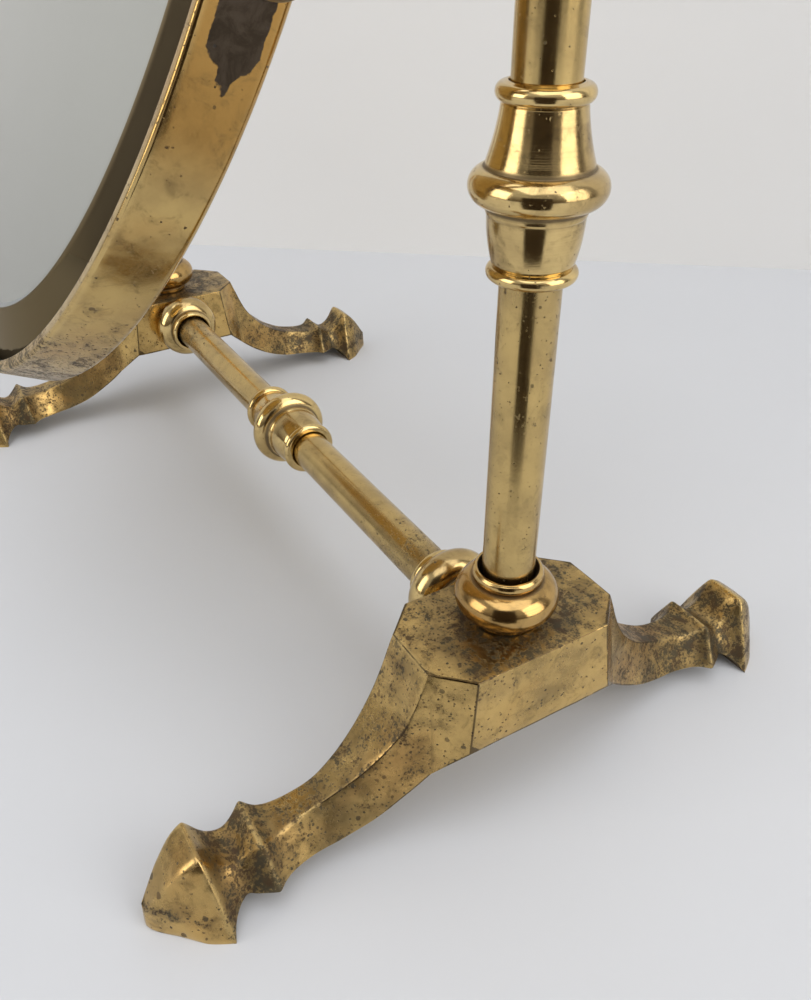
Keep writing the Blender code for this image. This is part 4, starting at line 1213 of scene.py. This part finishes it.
def upright_corners(foot, across, low, high):
    return [tuple(foot - across + UP * low), tuple(foot + across + UP * low),
            tuple(foot + across + UP * high), tuple(foot - across + UP * high)]


FLOOR_REACH = 3.0
WALL_AWAY = 0.3074            # the wall stands this far behind the stand's middle
WALL_TURN = math.radians(38.2)
WALL_HEIGHT = 2.4
floor = [(x * FLOOR_REACH, y * FLOOR_REACH, 0) for x, y in ((-1, -1), (1, -1), (1, 1), (-1, 1))]
stage_plane("table", floor, plain_stage("table_top", (0.60, 0.615, 0.64), (0.57, 0.585, 0.61)))
wall_facing = Vector((math.cos(WALL_TURN), -math.sin(WALL_TURN), 0))
wall_foot = -wall_facing * WALL_AWAY
wall_side = UP.cross(wall_facing) * FLOOR_REACH
stage_plane("wall", upright_corners(wall_foot, wall_side, 0, WALL_HEIGHT),
            plain_stage("painted_wall", (0.75, 0.75, 0.745), (0.72, 0.72, 0.715)))


def direction(azimuth, elevation):
    """The way from the object to a viewer; azimuth 0 is -Y, 90 is +X, in degrees."""
    a, e = math.radians(azimuth), math.radians(elevation)
    return Vector((math.sin(a) * math.cos(e), -math.cos(a) * math.cos(e), math.sin(e)))


def softbox(name, azimuth, elevation, away, width, height, power, colour=(1.0, 0.97, 0.92)):
    data = bpy.data.lights.new(name, "AREA")
    data.shape = "RECTANGLE"
    data.size = width
    data.size_y = height
    data.energy = power
    data.color = colour
    lamp = bpy.data.objects.new(name, data)
    bpy.context.scene.collection.objects.link(lamp)
    lamp.location = direction(azimuth, elevation) * away + UP * AIM_HEIGHT
    lamp.rotation_euler = direction(azimuth, elevation).to_track_quat("Z", "Y").to_euler()
    return lamp


AIM_HEIGHT = 0.12             # the lights point at this height
CAMERA_AZIMUTH, CAMERA_ELEVATION = 59.12, 34.23
softbox("window_left", CAMERA_AZIMUTH - 66, 20, 1.5, 0.80, 1.0, 7.0)
softbox("window_right", CAMERA_AZIMUTH + 56, 22, 1.5, 1.0, 1.2, 10.0)
softbox("ceiling", CAMERA_AZIMUTH + 20, 78, 1.8, 2.2, 2.2, 22.0, (0.98, 0.98, 1.0))


def dark_card():
    """An upright card that only shows in reflections, as the dark parts of a room do."""
    out = direction(CARD_AZIMUTH, 0)
    foot = Vector((COLUMN_X, 0, 0)) + out * CARD_AWAY
    s = Shading("room_dark_middle")
    shade = s.mix_colour(s.noise(9.0, 3.0, 0.5), CARD_BROWN, tuple(0.45 * c for c in CARD_BROWN))
    card = stage_plane("room_dark_middle",
                       upright_corners(foot, UP.cross(out) * CARD_HALF_WIDTH, 0.0, CARD_HEIGHT),
                       s.finish(Base_Color=shade, Roughness=0.9))
    card.visible_camera = False
    card.visible_diffuse = False
    card.visible_shadow = False


CARD_AZIMUTH, CARD_AWAY = 51.0, 0.155
CARD_HALF_WIDTH, CARD_HEIGHT = 0.070, 0.22
CARD_BROWN = (0.060, 0.040, 0.026)
dark_card()


def room_light():
    """Light from a room that is darker low down; seen directly, it is as pale as the wall."""
    world = bpy.data.worlds.new("room")
    bpy.context.scene.world = world
    world.use_nodes = True
    nodes, link = world.node_tree.nodes, world.node_tree.links.new
    split = nodes.new("ShaderNodeSeparateXYZ")
    link(nodes.new("ShaderNodeTexCoord").outputs["Generated"], split.inputs["Vector"])
    ramp = nodes.new("ShaderNodeValToRGB")
    link(split.outputs["Z"], ramp.inputs["Fac"])
    low, high = ramp.color_ramp.elements
    low.position, low.color = 0.0, (0.10, 0.075, 0.055, 1)
    high.position, high.color = 0.55, (0.52, 0.52, 0.53, 1)
    seen = nodes.new("ShaderNodeMix")
    seen.data_type = "RGBA"
    seen.inputs[7].default_value = (0.74, 0.74, 0.73, 1)
    link(nodes.new("ShaderNodeLightPath").outputs["Is Camera Ray"], seen.inputs["Factor"])
    link(ramp.outputs["Color"], seen.inputs[6])
    link(seen.outputs[2], nodes["Background"].inputs["Color"])


room_light()


def set_camera():
    """The camera that the photo was taken with, as solved from the object's corners."""
    data = bpy.data.cameras.new("camera")
    data.sensor_width = 36
    data.lens = LENS
    data.clip_start = 0.01
    camera = bpy.data.objects.new("camera", data)
    bpy.context.scene.collection.objects.link(camera)
    camera.location = CAMERA_PLACE
    looking = (-direction(CAMERA_AZIMUTH, CAMERA_ELEVATION)).to_track_quat("-Z", "Y").to_matrix()
    camera.rotation_euler = (looking @ Matrix.Rotation(CAMERA_ROLL, 3, "Z")).to_euler()
    bpy.context.scene.camera = camera


CAMERA_PLACE = Vector((0.26382, -0.10888, 0.20127))
CAMERA_ROLL = math.radians(-0.14)
LENS = 32.455                 # mm, on a sensor 36 mm wide
set_camera()
bpy.context.scene.view_settings.view_transform = "Standard"
